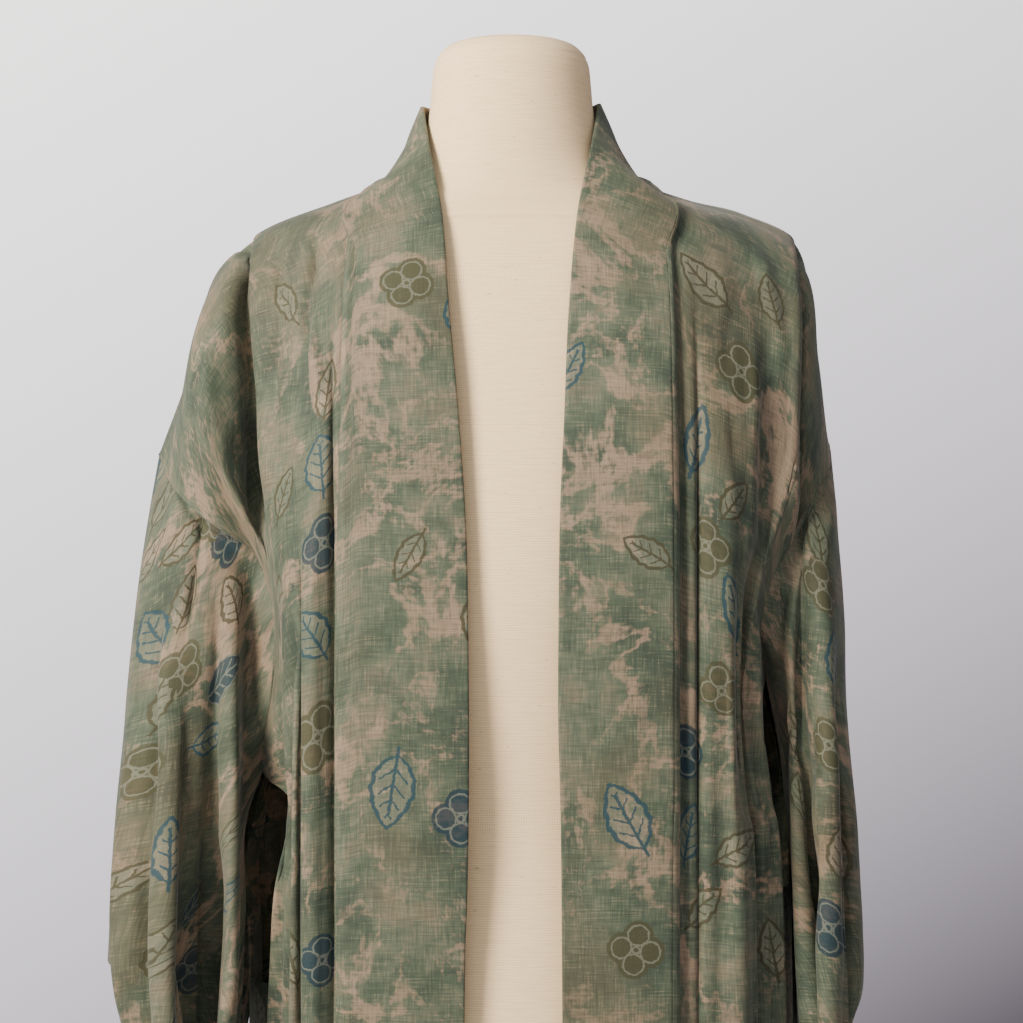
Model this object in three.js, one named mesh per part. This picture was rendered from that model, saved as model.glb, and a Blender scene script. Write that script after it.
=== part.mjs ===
// A haori, the short kimono jacket, worn open on a limbless dress form.
// Millimetres, +Z up, the viewer looks along +Y, the floor is at z = 0 and the base is centred on it.
import * as THREE from 'three';

// Cloth and seams
const clothThick = 1.6;
const collarThick = 3.0;
const seamGap = 0.3;
const layGap = 1.6;

// Dress form
const formClear = 5;
const crownRise = 0.5;
const poleRadius = 12.5;
const poleTop = 778;
const poleFoot = 22.3;
const socketGap = 0.3;
const socketDepth = 20;
const baseRadius = 170;
const baseThick = 22;
const basePoleRise = 14;
const baseEdge = 7;
const baseBevel = 5;
const baseCollarWide = 12;

// Materials
const clothColour = 0x7d8468;
const canvasColour = 0xe6dfcd;
const steelColour = 0xb9bbbd;
const baseColour = 0x8f9193;

// Torso and neck rings, from the neck cap to the lower rim.
// Columns: up, half width, front depth, back depth.
const formRings = [
  [1489.5, 20, 19, 19],
  [1488, 36, 33, 33],
  [1483, 45.5, 41, 42],
  [1475, 50.5, 45.5, 46.5],
  [1460, 52.5, 47, 49],
  [1443, 54, 48, 51],
  [1426, 57, 49, 54],
  [1409, 62, 49, 57],
  [1397, 70, 50, 60],
  [1388, 82, 51, 63],
  [1382, 101, 47, 65],
  [1374, 133.5, 51, 67],
  [1364, 157, 57, 70],
  [1351, 168, 61, 72],
  [1330, 170, 67, 74],
  [1290, 163, 77, 78],
  [1240, 150, 88, 82],
  [1190, 140, 95, 84],
  [1130, 132, 97, 84],
  [1060, 120, 92, 81],
  [980, 112, 86, 80],
  [900, 124, 92, 92],
  [830, 134, 96, 99],
  [780, 134, 95, 98],
  [765, 130, 91, 94],
  [760, 124, 85, 88],
];

// Guide lines of the cloth. Each line runs from the shoulder ridge to the hem through eleven levels:
// the ridge, six down to the underarm, the notch, the side opening, its foot, and the hem.
// Columns: out from the middle, towards the front, up.
const levels = 11;
const underarmLevel = 6;
const openingFoot = 9;
const hemLevel = 10;
const levelSteps = [2, 2, 2, 2, 2, 2, 1, 1, 1, 3];

const leftFront = [
  { // collar seam
    across: 0,
    rows: [[72, 0, 1399], [88, 28, 1382.5], [95, 54, 1351], [95, 79, 1300], [93, 95, 1240], [91, 101, 1165],
      [90, 103, 1075], [88.5, 103, 1000], [88, 103, 940], [88, 103, 880], [88, 104, 640]],
  },
  { // pleat edge
    across: 0.19,
    rows: [[118, 0, 1383], [118, 36, 1368.5], [120, 63, 1327], [122, 84, 1273], [123, 93, 1216],
      [125, 97, 1147], [127, 99, 1062], [128, 99, 990], [128, 99, 935], [128, 99, 880], [129, 100, 638]],
  },
  { // deep fold from the shoulder tip
    across: 0.37,
    rows: [[166, 0, 1363.5], [167, 27, 1343.5], [171, 36, 1301], [168, 40, 1255], [160, 48, 1200],
      [140, 84, 1138], [135, 92, 1054], [132, 92, 990], [134, 88, 935], [135, 86, 878], [140, 86, 636]],
  },
  { // cap of the shoulder
    across: 0.53,
    rows: [[196, 0, 1333.5], [199, 30, 1306], [195, 52, 1263], [184, 56, 1222], [163, 48, 1176],
      [145, 80, 1126], [140, 84, 1044], [133, 84, 990], [139, 76, 936], [142, 70, 877], [152, 72, 634]],
  },
  { // front of the cap
    across: 0.77,
    rows: [[211, 0, 1275], [212, 35, 1250], [198, 58, 1216], [177, 56, 1186], [155, 60, 1150],
      [146, 73, 1094], [144, 66, 1030], [134, 72, 991], [144, 60, 938], [148, 54, 877], [160, 56, 632]],
  },
  { // sleeve seam and side edge
    across: 1,
    rows: [[232, 0, 1217], [216, 34, 1193], [190, 56, 1172], [162, 46, 1150], [150, 59, 1112],
      [152, 57, 1066], [160, 34, 1015], [138, 58, 992], [149, 45, 940], [152, 40, 876], [166, 38, 630]],
  },
];

const rightFront = [
  {
    across: 0,
    rows: [[74, 0, 1399], [88, 28, 1382.5], [94, 54, 1351], [94, 79, 1300], [93, 95, 1240], [93, 101, 1175],
      [93, 103, 1092], [93, 103, 1050], [93, 103, 1010], [92, 103, 945], [91, 104, 640]],
  },
  {
    across: 0.19,
    rows: [[118, 0, 1384.5], [116, 36, 1371], [114, 62, 1332], [113, 82, 1279], [113, 92, 1224],
      [113, 96, 1160], [113, 97, 1083], [113, 97, 1045], [114, 97, 1005], [115, 97, 942], [116, 98, 638]],
  },
  {
    across: 0.36,
    rows: [[152, 0, 1376], [154, 30, 1357], [151, 56, 1315], [146, 76, 1264], [142, 87, 1210],
      [138, 92, 1150], [137, 93, 1078], [138, 93, 1042], [140, 93, 1002], [143, 93, 940], [145, 95, 637]],
  },
  {
    across: 0.52,
    rows: [[189, 0, 1356], [190, 30, 1333], [184, 52, 1292], [178, 62, 1244], [170, 68, 1194],
      [154, 80, 1136], [146, 83, 1079], [146, 81, 1042], [151, 78, 1000], [158, 75, 939], [163, 78, 636]],
  },
  {
    across: 0.77,
    rows: [[197.5, 0, 1297], [198, 33, 1275], [192, 53, 1243], [183, 59, 1208], [166, 68, 1164],
      [151, 76, 1118], [148, 67, 1080], [149, 67, 1044], [157, 62, 1002], [165, 59, 939], [172, 62, 636]],
  },
  {
    across: 1,
    rows: [[209, 0, 1223], [205, 28, 1208], [194, 44, 1191], [181, 52, 1166], [165, 60, 1137],
      [158, 54, 1107], [164, 28, 1078], [158, 48, 1048], [163, 46, 1010], [171, 40, 938], [179, 40, 635]],
  },
];

const leftBack = [
  { // neck edge and centre-back seam
    across: 0,
    rows: [[72, 0, 1399], [56, -44, 1397], [27, -68, 1393], [0, -76, 1389], [0, -92, 1300], [0, -98, 1215],
      [0, -92, 1110], [0, -92, 1040], [0, -96, 970], [0, -104, 880], [0, -112, 628]],
  },
  { // beside the centre back
    across: 0.19,
    rows: [[118, 0, 1383], [108, -40, 1375.5], [86, -64, 1363.5], [66, -80, 1342], [60, -94, 1280],
      [60, -100, 1200], [60, -95, 1100], [60, -95, 1034], [61, -99, 965], [62, -106, 877], [64, -116, 626]],
  },
  { // shoulder blade
    across: 0.37,
    rows: [[166, 0, 1363.5], [160, -36, 1345.5], [146, -62, 1321], [130, -78, 1288], [120, -88, 1235],
      [113, -92, 1175], [106, -90, 1088], [105, -90, 1028], [106, -92, 960], [110, -98, 875],
      [114, -106, 624]],
  },
  { // back of the cap
    across: 0.53,
    rows: [[196, 0, 1333.5], [194, -38, 1302], [184, -62, 1268], [169, -74, 1238], [154, -78, 1198],
      [143, -79, 1150], [136, -78, 1074], [135, -77, 1020], [136, -76, 955], [140, -80, 873],
      [146, -90, 622]],
  },
  { // back of the armhole
    across: 0.77,
    rows: [[211, 0, 1275], [210, -38, 1250], [199, -62, 1225], [184, -71, 1199], [167, -70, 1165],
      [156, -66, 1118], [149, -57, 1048], [151, -50, 1003], [157, -44, 948], [158, -42, 872],
      [165, -64, 620]],
  },
  { // sleeve seam and side edge
    across: 1,
    rows: [[232, 0, 1217], [223, -36, 1198], [207, -58, 1178], [188, -66, 1153], [172, -60, 1120],
      [164, -46, 1075], [164, -22, 1015], [170, -12, 982], [176, 4, 940], [170, 16, 876],
      [179, -30, 620]],
  },
];

const rightBack = [
  {
    across: 0,
    rows: [[74, 0, 1399], [57, -44, 1397], [27, -68, 1393], [0, -76, 1389], [0, -92, 1300], [0, -98, 1215],
      [0, -92, 1110], [0, -92, 1040], [0, -96, 970], [0, -104, 880], [0, -112, 628]],
  },
  {
    across: 0.19,
    rows: [[118, 0, 1384.5], [108, -40, 1377], [86, -64, 1364.5], [66, -80, 1342], [60, -94, 1280],
      [60, -100, 1200], [60, -95, 1106], [60, -95, 1046], [61, -98, 985], [62, -105, 900], [64, -116, 628]],
  },
  {
    across: 0.36,
    rows: [[152, 0, 1376], [150, -36, 1358], [140, -62, 1330], [128, -78, 1294], [120, -88, 1241],
      [113, -92, 1182], [107, -90, 1100], [107, -90, 1046], [109, -92, 990], [113, -96, 915],
      [118, -106, 628]],
  },
  {
    across: 0.52,
    rows: [[189, 0, 1356], [188, -36, 1330], [179, -60, 1292], [167, -74, 1255], [154, -79, 1212],
      [144, -79, 1160], [138, -78, 1096], [139, -77, 1050], [142, -76, 995], [147, -80, 922],
      [152, -90, 628]],
  },
  {
    across: 0.77,
    rows: [[197.5, 0, 1297], [197, -34, 1275], [191, -58, 1247], [181, -70, 1214], [167, -72, 1178],
      [157, -68, 1136], [150, -57, 1085], [154, -50, 1044], [161, -42, 995], [166, -40, 928],
      [172, -60, 628]],
  },
  {
    across: 1,
    rows: [[209, 0, 1223], [206, -30, 1210], [198, -50, 1194], [186, -62, 1172], [174, -60, 1145],
      [165, -46, 1113], [164, -20, 1078], [171, -14, 1046], [179, 0, 1000], [181, 14, 938],
      [186, -28, 628]],
  },
];

// Sleeve guide lines, from the top of the sleeve seam outwards. Columns as above; the rows are at
// these shares of each line's length. across is 0 at the ridge and 1 at the seam edge.
const sleeveShares = [0, 0.12, 0.25, 0.4, 0.55, 0.7, 0.85, 1];
const seamShare = 0.5;
const cuffShare = 0.44;
const closeFrom = 0.86;

const leftSleeve = [
  { // back seam edge below the underarm is taken from its own line
    across: -0.8,
    rows: [[232, 0, 1217], [224, -44, 1184], [204, -68, 1140], [184, -78, 1066], [186, -82, 968],
      [191, -80, 895], [197, -70, 812], [203, 0, 738]],
  },
  {
    across: -0.62,
    rows: [[232, 0, 1217], [228, -40, 1176], [216, -64, 1122], [206, -84, 1032], [208, -92, 930],
      [212, -94, 852], [217, -86, 762], [222, 0, 664]],
  },
  {
    across: -0.44,
    rows: [[232, 0, 1217], [233, -30, 1170], [232, -46, 1116], [232, -62, 1042], [236, -68, 975],
      [239, -72, 915], [240, -66, 855], [239, -50, 792]],
  },
  {
    across: -0.22,
    rows: [[232, 0, 1217], [237, -17, 1173], [242, -24, 1126], [247, -31, 1072], [251, -36, 1018],
      [255, -40, 967], [258, -42, 912], [256, -40, 862]],
  },
  { // outer ridge
    across: 0,
    rows: [[232, 0, 1217], [238.5, 0, 1177], [244.5, 0, 1134], [249.5, 0, 1084], [254, 0, 1034],
      [259, 0, 984], [263, 0, 934], [266, 0, 884]],
  },
  { // outer face
    across: 0.22,
    rows: [[232, 0, 1217], [236, 19, 1172], [241, 27, 1126], [246, 33, 1072], [250, 37, 1018],
      [254, 40, 967], [254, 44, 912], [243, 44, 862]],
  },
  { // front face
    across: 0.44,
    rows: [[232, 0, 1217], [230, 34, 1168], [229, 49, 1114], [233, 60, 1040], [237, 66, 972],
      [240, 70, 912], [240, 68, 852], [239, 52, 792]],
  },
  { // crest
    across: 0.62,
    rows: [[232, 0, 1217], [222, 43, 1168], [210, 62, 1116], [210, 76, 1018], [212, 84, 926],
      [214, 88, 850], [218, 84, 762], [222, 0, 664]],
  },
  { // broad valley
    across: 0.76,
    rows: [[232, 0, 1217], [215, 46, 1173], [192, 60, 1130], [189, 60, 1044], [191, 52, 962],
      [193, 46, 890], [197, 44, 808], [204, 0, 736]],
  },
  { // inner crest
    across: 0.88,
    rows: [[232, 0, 1217], [211, 46, 1178], [179, 58, 1138], [174, 69, 1060], [174, 76, 980],
      [176, 82, 912], [180, 80, 834], [194, 0, 756]],
  },
  { // deep valley beside the seam
    across: 0.95,
    rows: [[232, 0, 1217], [208, 45, 1181], [170, 48, 1145], [169, 45, 1064], [173, 54, 986],
      [171, 68, 924], [175, 68, 846], [190, 0, 764]],
  },
];

const rightSleeve = [
  {
    across: -0.8,
    rows: [[209, 0, 1223], [208, -38, 1192], [200, -62, 1154], [191, -76, 1090], [194, -82, 990],
      [198, -82, 905], [202, -72, 820], [207, 0, 742]],
  },
  {
    across: -0.62,
    rows: [[209, 0, 1223], [211, -36, 1184], [209, -60, 1138], [206, -82, 1052], [208, -92, 946],
      [211, -94, 860], [213, -86, 768], [215, 0, 668]],
  },
  {
    across: -0.44,
    rows: [[209, 0, 1223], [211, -28, 1178], [211, -46, 1126], [209, -62, 1052], [208, -68, 982],
      [207, -72, 920], [208, -66, 858], [209, -48, 794]],
  },
  {
    across: -0.22,
    rows: [[209, 0, 1223], [210.5, -16, 1180], [213, -24, 1134], [216, -31, 1080], [218, -36, 1024],
      [220, -40, 970], [222, -42, 914], [223, -38, 862]],
  },
  {
    across: 0,
    rows: [[209, 0, 1223], [210.5, 0, 1183], [213, 0, 1139], [216, 0, 1090], [219, 0, 1038],
      [222, 0, 985], [225, 0, 928], [228, 0, 874]],
  },
  {
    across: 0.22,
    rows: [[209, 0, 1223], [211, 18, 1178], [214, 27, 1131], [216, 34, 1078], [218, 40, 1022],
      [220, 44, 970], [221, 46, 914], [216, 42, 866]],
  },
  {
    across: 0.44,
    rows: [[209, 0, 1223], [208, 32, 1178], [208, 48, 1128], [210, 62, 1052], [213, 70, 982],
      [215, 74, 920], [216, 72, 862], [208, 58, 800]],
  },
  {
    across: 0.62,
    rows: [[209, 0, 1223], [205, 39, 1182], [200, 57, 1142], [198, 74, 1048], [203, 82, 944],
      [206, 86, 858], [210, 82, 766], [214, 0, 668]],
  },
  {
    across: 0.76,
    rows: [[209, 0, 1223], [202, 41, 1186], [192, 57, 1150], [185, 62, 1072], [190, 60, 980],
      [194, 58, 900], [198, 56, 816], [204, 0, 740]],
  },
  {
    across: 0.88,
    rows: [[209, 0, 1223], [200, 42, 1189], [186, 55, 1157], [175, 62, 1096], [181, 60, 1000],
      [187, 66, 918], [192, 68, 838], [199, 0, 760]],
  },
  {
    across: 0.95,
    rows: [[209, 0, 1223], [199, 42, 1190], [183, 52, 1161], [170, 53, 1104], [177, 45, 1008],
      [184, 50, 930], [188, 54, 850], [197, 0, 766]],
  },
];

// Open edges of the sleeves below the underarm. Columns: share of the line, out, front, up.
const leftOpenFront = [[0.5, 160, 34, 1015], [0.6, 171, 44, 978], [0.7, 169, 58, 930], [0.85, 173, 56, 852],
  [1, 188, 0, 768]];
const leftOpenBack = [[0.5, 164, -22, 1015], [0.6, 172, -46, 978], [0.7, 173, -58, 930],
  [0.85, 177, -52, 852], [1, 188, 0, 768]];
const rightOpenFront = [[0.5, 164, 28, 1078], [0.6, 174, 34, 1020], [0.7, 181, 38, 940],
  [0.85, 186, 40, 856], [1, 196, 0, 770]];
const rightOpenBack = [[0.5, 164, -20, 1078], [0.6, 176, -44, 1020], [0.7, 183, -58, 940],
  [0.85, 189, -52, 856], [1, 196, 0, 770]];

// Folded inner edge of the collar at the levels of the collar seam, front and back of the neck.
const leftCollarFold = [[59, 0, 1446], [54, 32, 1416], [45, 60, 1367], [40, 82, 1306], [34, 97, 1242],
  [29, 105, 1165], [27.5, 107, 1075], [27.5, 107, 1000], [28.5, 107, 940], [30, 107, 880], [31, 107, 640]];
const rightCollarFold = [[58, 0, 1448], [53, 32, 1418], [43, 60, 1369], [37, 82, 1306], [34, 97, 1242],
  [31, 105, 1175], [30, 107, 1092], [30, 107, 1050], [31, 107, 1010], [32, 107, 945], [34, 107, 640]];
const leftNeckFold = [[59, 0, 1446], [50, -40, 1451], [25, -58, 1456], [0, -62, 1457]];
const rightNeckFold = [[58, 0, 1448], [49, -40, 1452], [25, -58, 1456], [0, -62, 1457]];
// Lower edge of the collar round the back of the neck, at the levels after the shoulder.
const neckEdge = [[74, -57, 1391.5], [41, -78, 1382], [0, -86, 1371]];
const collarBow = 1.5;

// Folds of the body panels. Columns: middle across, drift across by the hem, half width, depth
// (inwards below 0), first level, level of full depth.
const leftFrontFolds = [
  [0.12, 0.0, 0.05, -2.5, 3.5, 6],
  [0.27, 0.0, 0.05, 3, 4.5, 7],
  [0.44, 0.02, 0.08, -9, 5.5, 8],
  [0.62, 0.04, 0.08, 8, 5.5, 8],
  [0.82, 0.0, 0.08, -7, 6.5, 8.5],
];
const rightFrontFolds = [
  [0.13, 0.0, 0.06, -4, 1.5, 5],
  [0.3, 0.04, 0.08, 5, 1.5, 6],
  [0.46, 0.05, 0.08, -8, 1.5, 6],
  [0.63, 0.05, 0.08, 8, 2, 7],
  [0.82, 0.02, 0.08, -7, 4.5, 8],
];
const backFolds = [
  [0.13, 0.02, 0.07, -13, 2.5, 6],
  [0.27, 0.02, 0.07, 13, 2.5, 6],
  [0.42, 0.02, 0.08, -15, 1.8, 5.5],
  [0.57, 0.02, 0.08, 14, 1.8, 5.5],
  [0.72, 0.0, 0.07, -13, 1.5, 6],
  [0.86, -0.01, 0.07, 9, 2.5, 6.5],
];

// Folds of the sleeves. Columns: middle across, drift by the end of the line, half width, depth,
// first share of the line, share of full depth.
const leftSleeveFolds = [
  [-0.9, 0.02, 0.07, -16, 0.2, 0.6],
  [-0.76, 0.02, 0.08, 16, 0.15, 0.55],
  [-0.6, 0.0, 0.08, -26, 0.15, 0.6],
  [-0.44, 0.0, 0.08, 20, 0.2, 0.6],
  [-0.28, 0.0, 0.08, -20, 0.25, 0.65],
  [0.13, 0.02, 0.07, -8, 0.45, 0.85],
  [0.3, 0.02, 0.09, 5, 0.3, 0.8],
  [0.5, 0.0, 0.09, -12, 0.45, 0.95],
  [0.63, 0.0, 0.07, 9, 0.3, 0.8],
  [0.77, 0.0, 0.06, -12, 0.25, 0.7],
  [0.89, 0.0, 0.05, 6, 0.4, 0.8],
];
const rightSleeveFolds = [
  [-0.9, 0.02, 0.07, -16, 0.2, 0.6],
  [-0.76, 0.02, 0.08, 18, 0.15, 0.55],
  [-0.6, 0.0, 0.08, -28, 0.15, 0.6],
  [-0.44, 0.0, 0.08, 22, 0.2, 0.6],
  [-0.27, 0.0, 0.08, -22, 0.25, 0.65],
  [0.15, 0.0, 0.07, -7, 0.45, 0.85],
  [0.33, 0.0, 0.08, 3, 0.3, 0.8],
  [0.49, 0.0, 0.08, -22, 0.35, 0.8],
  [0.64, 0.0, 0.07, 16, 0.3, 0.8],
  [0.77, 0.0, 0.06, -18, 0.3, 0.75],
  [0.89, 0.0, 0.05, 10, 0.4, 0.8],
];
const foldFade = 0.08;

// A smooth curve through rows of numbers, each at its own place.
function curveThrough(places, rows, at) {
  const last = places.length - 1;
  let k = 0;
  while (k < last - 1 && at > places[k + 1]) {
    k += 1;
  }
  const span = places[k + 1] - places[k];
  const s = Math.min(Math.max((at - places[k]) / span, 0), 1);
  const slope = (j, c) => {
    const lo = Math.max(j - 1, 0);
    const hi = Math.min(j + 1, last);
    return (rows[hi][c] - rows[lo][c]) / (places[hi] - places[lo]);
  };
  return rows[k].map((from, c) => {
    const to = rows[k + 1][c];
    const rise = s * s * (3 - 2 * s);
    const pull = s * (1 - s) * span * ((1 - s) * slope(k, c) - s * slope(k + 1, c));
    return from + (to - from) * rise + pull;
  });
}

const levelPlaces = Array.from({ length: levels }, (_, k) => k);

// Half width and depths of the dress form at a height.
function formAt(up) {
  const rings = formRings.slice().reverse();
  const places = rings.map((r) => r[0]);
  if (up <= places[0] || up >= places[places.length - 1]) {
    return null;
  }
  return curveThrough(places, rings, up);
}

// A cloth point kept clear of the dress form.
function clearOfForm([out, front, up]) {
  const ring = formAt(up);
  if (!ring) {
    return [out, front, up];
  }
  const width = ring[1] + formClear;
  const depth = (front > 0 ? ring[2] : ring[3]) + formClear;
  const reach = Math.hypot(out / width, front / depth);
  if (reach >= 1 || reach === 0) {
    return [out, front, up];
  }
  return [out / reach, front / reach, up];
}

const smooth = (s) => {
  const t = Math.min(Math.max(s, 0), 1);
  return t * t * (3 - 2 * t);
};

// How far the folds push the cloth out at a place, with no push at the seams.
function foldPush(folds, across, along, end) {
  const fade = smooth((1 - Math.abs(across)) / foldFade);
  let push = 0;
  for (const [middle, drift, half, depth, from, full] of folds) {
    const off = Math.abs(across - middle - drift * (along / end)) / half;
    if (off < 1) {
      push += depth * 0.5 * (1 + Math.cos(Math.PI * off)) * smooth((along - from) / (full - from));
    }
  }
  return push * fade;
}

// A point moved along the level normal of the line that runs across at its height.
const acrossStep = 0.02;
function pushed(pointAt, across, turn, push) {
  const [out, front, up] = pointAt(across);
  const before = pointAt(across - acrossStep);
  const after = pointAt(across + acrossStep);
  const run = [after[0] - before[0], after[1] - before[1]];
  const length = Math.hypot(...run) || 1;
  return [out - (turn * push * run[1]) / length, front + (turn * push * run[0]) / length, up];
}

// A point of a body panel: across from the collar seam to the side, down through the levels.
function bodyPoint(panel, across, level) {
  const rows = panel.guides.map((g) => curveThrough(levelPlaces, g.rows, level));
  const places = panel.guides.map((g) => g.across);
  const pointAt = (a) => curveThrough(places, rows, Math.min(Math.max(a, 0), 1));
  const push = foldPush(panel.folds, across, level, hemLevel) * smooth(across / foldFade);
  const point = pushed(pointAt, across, panel.turn, push);
  return clearOfForm([Math.max(point[0], 0), point[1], point[2]]);
}

// A point of the seam edge of a sleeve, at a share of its length.
function sleeveEdge(panel, openEdge, share) {
  if (share <= seamShare) {
    const seam = panel.guides[panel.guides.length - 1].rows;
    return curveThrough(levelPlaces, seam, (share / seamShare) * underarmLevel);
  }
  return curveThrough(openEdge.map((r) => r[0]), openEdge.map((r) => r.slice(1)), share);
}

// A point of a sleeve. The front and back faces meet along the sewn part of the cuff and the bottom.
function sleevePoint(side, across, share) {
  const front = sleeveEdge(side.front, side.openFront, share);
  const back = sleeveEdge(side.back, side.openBack, share);
  const places = [-1, ...side.sleeve.map((g) => g.across), 1];
  const rowsAt = (s, b, f) => [b, ...side.sleeve.map((g) => curveThrough(sleeveShares, g.rows, s)), f];
  const row = rowsAt(share, back, front);
  const pointAt = (a) => curveThrough(places, row, Math.min(Math.max(a, -1), 1));
  const point = pushed(pointAt, across, -1, foldPush(side.sleeveFolds, across, share, 1));
  const lastBack = sleeveEdge(side.back, side.openBack, 1);
  const lastFront = sleeveEdge(side.front, side.openFront, 1);
  const lastRow = rowsAt(1, lastBack, lastFront);
  const seat = curveThrough(places, lastRow, Math.abs(across));
  const nearEnd = Math.max(0, (share - closeFrom) / (1 - closeFrom));
  const shut = 1 - Math.sqrt(Math.max(0, 1 - nearEnd * nearEnd));
  const cuff = Math.abs(across) / cuffShare;
  const open = Math.sqrt(Math.max(0, 1 - cuff * cuff));
  const close = shut * (1 - open);
  return [
    point[0] + (seat[0] - point[0]) * close,
    point[1] * (1 - close),
    point[2] + (seat[2] - point[2]) * close,
  ];
}

// A sheet of points in rows and columns, with shared points merged and flat triangles dropped.
class Sheet {
  constructor() {
    this.points = [];
    this.faces = [];
    this.byKey = new Map();
  }

  add([x, y, z]) {
    const key = Sheet.key(x, y, z);
    if (!this.byKey.has(key)) {
      this.byKey.set(key, this.points.length);
      this.points.push(new THREE.Vector3(x, y, z));
    }
    return this.byKey.get(key);
  }

  static key(x, y, z) {
    return [x, y, z].map((v) => (Math.round(v * 1000) / 1000 + 0).toFixed(3)).join(' ');
  }

  face(a, b, c) {
    if (a !== b && b !== c && c !== a) {
      this.faces.push([a, b, c]);
    }
  }

  grid(rows, flip = false) {
    const ids = rows.map((row) => row.map((p) => this.add(p)));
    for (let i = 0; i + 1 < ids.length; i += 1) {
      for (let j = 0; j + 1 < ids[i].length; j += 1) {
        const [a, b, c, d] = [ids[i][j], ids[i][j + 1], ids[i + 1][j + 1], ids[i + 1][j]];
        const quad = flip ? [[a, c, b], [a, d, c]] : [[a, b, c], [a, c, d]];
        quad.forEach((f) => this.face(...f));
      }
    }
    return this;
  }
}

// Normals shared by all the sheets that meet at a point, so that seams stay parallel. Each sheet
// counts once there, however small its faces are.
function sharedNormals(sheets) {
  const sums = new Map();
  for (const sheet of sheets) {
    const own = sheet.points.map(() => new THREE.Vector3());
    for (const face of sheet.faces) {
      const [a, b, c] = face.map((i) => sheet.points[i]);
      const area = new THREE.Vector3().crossVectors(b.clone().sub(a), c.clone().sub(a));
      face.forEach((i) => own[i].add(area));
    }
    sheet.points.forEach((p, i) => {
      const key = Sheet.key(p.x, p.y, p.z);
      sums.set(key, (sums.get(key) ?? new THREE.Vector3()).add(own[i].normalize()));
    });
  }
  return (p) => sums.get(Sheet.key(p.x, p.y, p.z)).clone().normalize();
}

// Edges that belong to one face only, each with that face's third corner.
function rimEdges(sheet) {
  const seen = new Map();
  for (const [a, b, c] of sheet.faces) {
    for (const [from, to, off] of [[a, b, c], [b, c, a], [c, a, b]]) {
      const back = `${to} ${from}`;
      if (seen.has(back)) {
        seen.delete(back);
      } else {
        seen.set(`${from} ${to}`, [from, to, off]);
      }
    }
  }
  return [...seen.values()];
}

// A wall of even thickness on a sheet, with its edges drawn in by half a seam gap, and by more where
// the sheets meet at a sharp angle.
const sharpestSeam = 0.5;
function thicken(sheet, thick, normalOf) {
  const rim = rimEdges(sheet);
  const inward = sheet.points.map(() => new THREE.Vector3());
  for (const [from, to, off] of rim) {
    const along = sheet.points[to].clone().sub(sheet.points[from]).normalize();
    const into = sheet.points[off].clone().sub(sheet.points[from]);
    into.addScaledVector(along, -into.dot(along)).normalize();
    inward[from].add(into);
    inward[to].add(into);
  }
  const normals = sheet.points.map(normalOf);
  const own = sharedNormals([sheet]);
  const mid = sheet.points.map((p, i) => {
    const square = Math.max(normals[i].dot(own(p)), sharpestSeam);
    return p.clone().addScaledVector(inward[i].normalize(), seamGap / 2 / square);
  });
  const outer = mid.map((p, i) => p.clone().addScaledVector(normals[i], thick / 2));
  const inner = mid.map((p, i) => p.clone().addScaledVector(normals[i], -thick / 2));
  const count = mid.length;
  const index = [];
  for (const [a, b, c] of sheet.faces) {
    index.push(a, b, c, a + count, c + count, b + count);
  }
  // Both sides of a seam split their rims along the same diagonal.
  const lower = (p, q) => (p.z - q.z || p.x - q.x || p.y - q.y) < 0;
  for (const [a, b] of rim) {
    if (lower(sheet.points[a], sheet.points[b])) {
      index.push(b, a, a + count, b, a + count, b + count);
    } else {
      index.push(b, a, b + count, a, a + count, b + count);
    }
  }
  const geometry = new THREE.BufferGeometry().setFromPoints([...outer, ...inner]);
  geometry.setIndex(index);
  geometry.computeVertexNormals();
  return geometry;
}

// Places along a body panel, level by level.
const levelStops = levelSteps.flatMap((n, k) => Array.from({ length: n }, (_, i) => k + i / n));
levelStops.push(hemLevel);

const sides = {
  left: {
    sign: -1,
    front: { guides: leftFront, folds: leftFrontFolds, turn: 1 },
    back: { guides: leftBack, folds: backFolds, turn: -1 },
    sleeve: leftSleeve,
    sleeveFolds: leftSleeveFolds,
    openFront: leftOpenFront,
    openBack: leftOpenBack,
    fold: leftCollarFold,
    neckFold: leftNeckFold,
  },
  right: {
    sign: 1,
    front: { guides: rightFront, folds: rightFrontFolds, turn: 1 },
    back: { guides: rightBack, folds: backFolds, turn: -1 },
    sleeve: rightSleeve,
    sleeveFolds: rightSleeveFolds,
    openFront: rightOpenFront,
    openBack: rightOpenBack,
    fold: rightCollarFold,
    neckFold: rightNeckFold,
  },
};

const place = (side, [out, front, up]) => [side.sign * out, -front, up];

const bodyColumns = 24;
const acrossStops = Array.from({ length: bodyColumns + 1 }, (_, i) => i / bodyColumns);

function bodySheet(side) {
  const rows = [];
  for (const level of levelStops.slice(1).reverse()) {
    rows.push(acrossStops.map((a) => place(side, bodyPoint(side.back, a, level))));
  }
  for (const level of levelStops) {
    rows.push(acrossStops.map((a) => place(side, bodyPoint(side.front, a, level))));
  }
  return new Sheet().grid(rows, side.sign > 0);
}

const sleeveColumns = 38;
const seamRows = underarmLevel * levelSteps[0];
const openShares = [0.56, 0.63, 0.7, 0.78, 0.86, 0.92, 0.965, 0.99, 1];

function sleeveSheet(side) {
  const shares = [];
  for (let i = 0; i <= seamRows; i += 1) {
    shares.push((seamShare * i) / seamRows);
  }
  shares.push(...openShares);
  const rows = shares.map((share) => Array.from(
    { length: sleeveColumns + 1 },
    (_, i) => place(side, sleevePoint(side, (2 * i) / sleeveColumns - 1, share)),
  ));
  return new Sheet().grid(rows, side.sign < 0);
}

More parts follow.
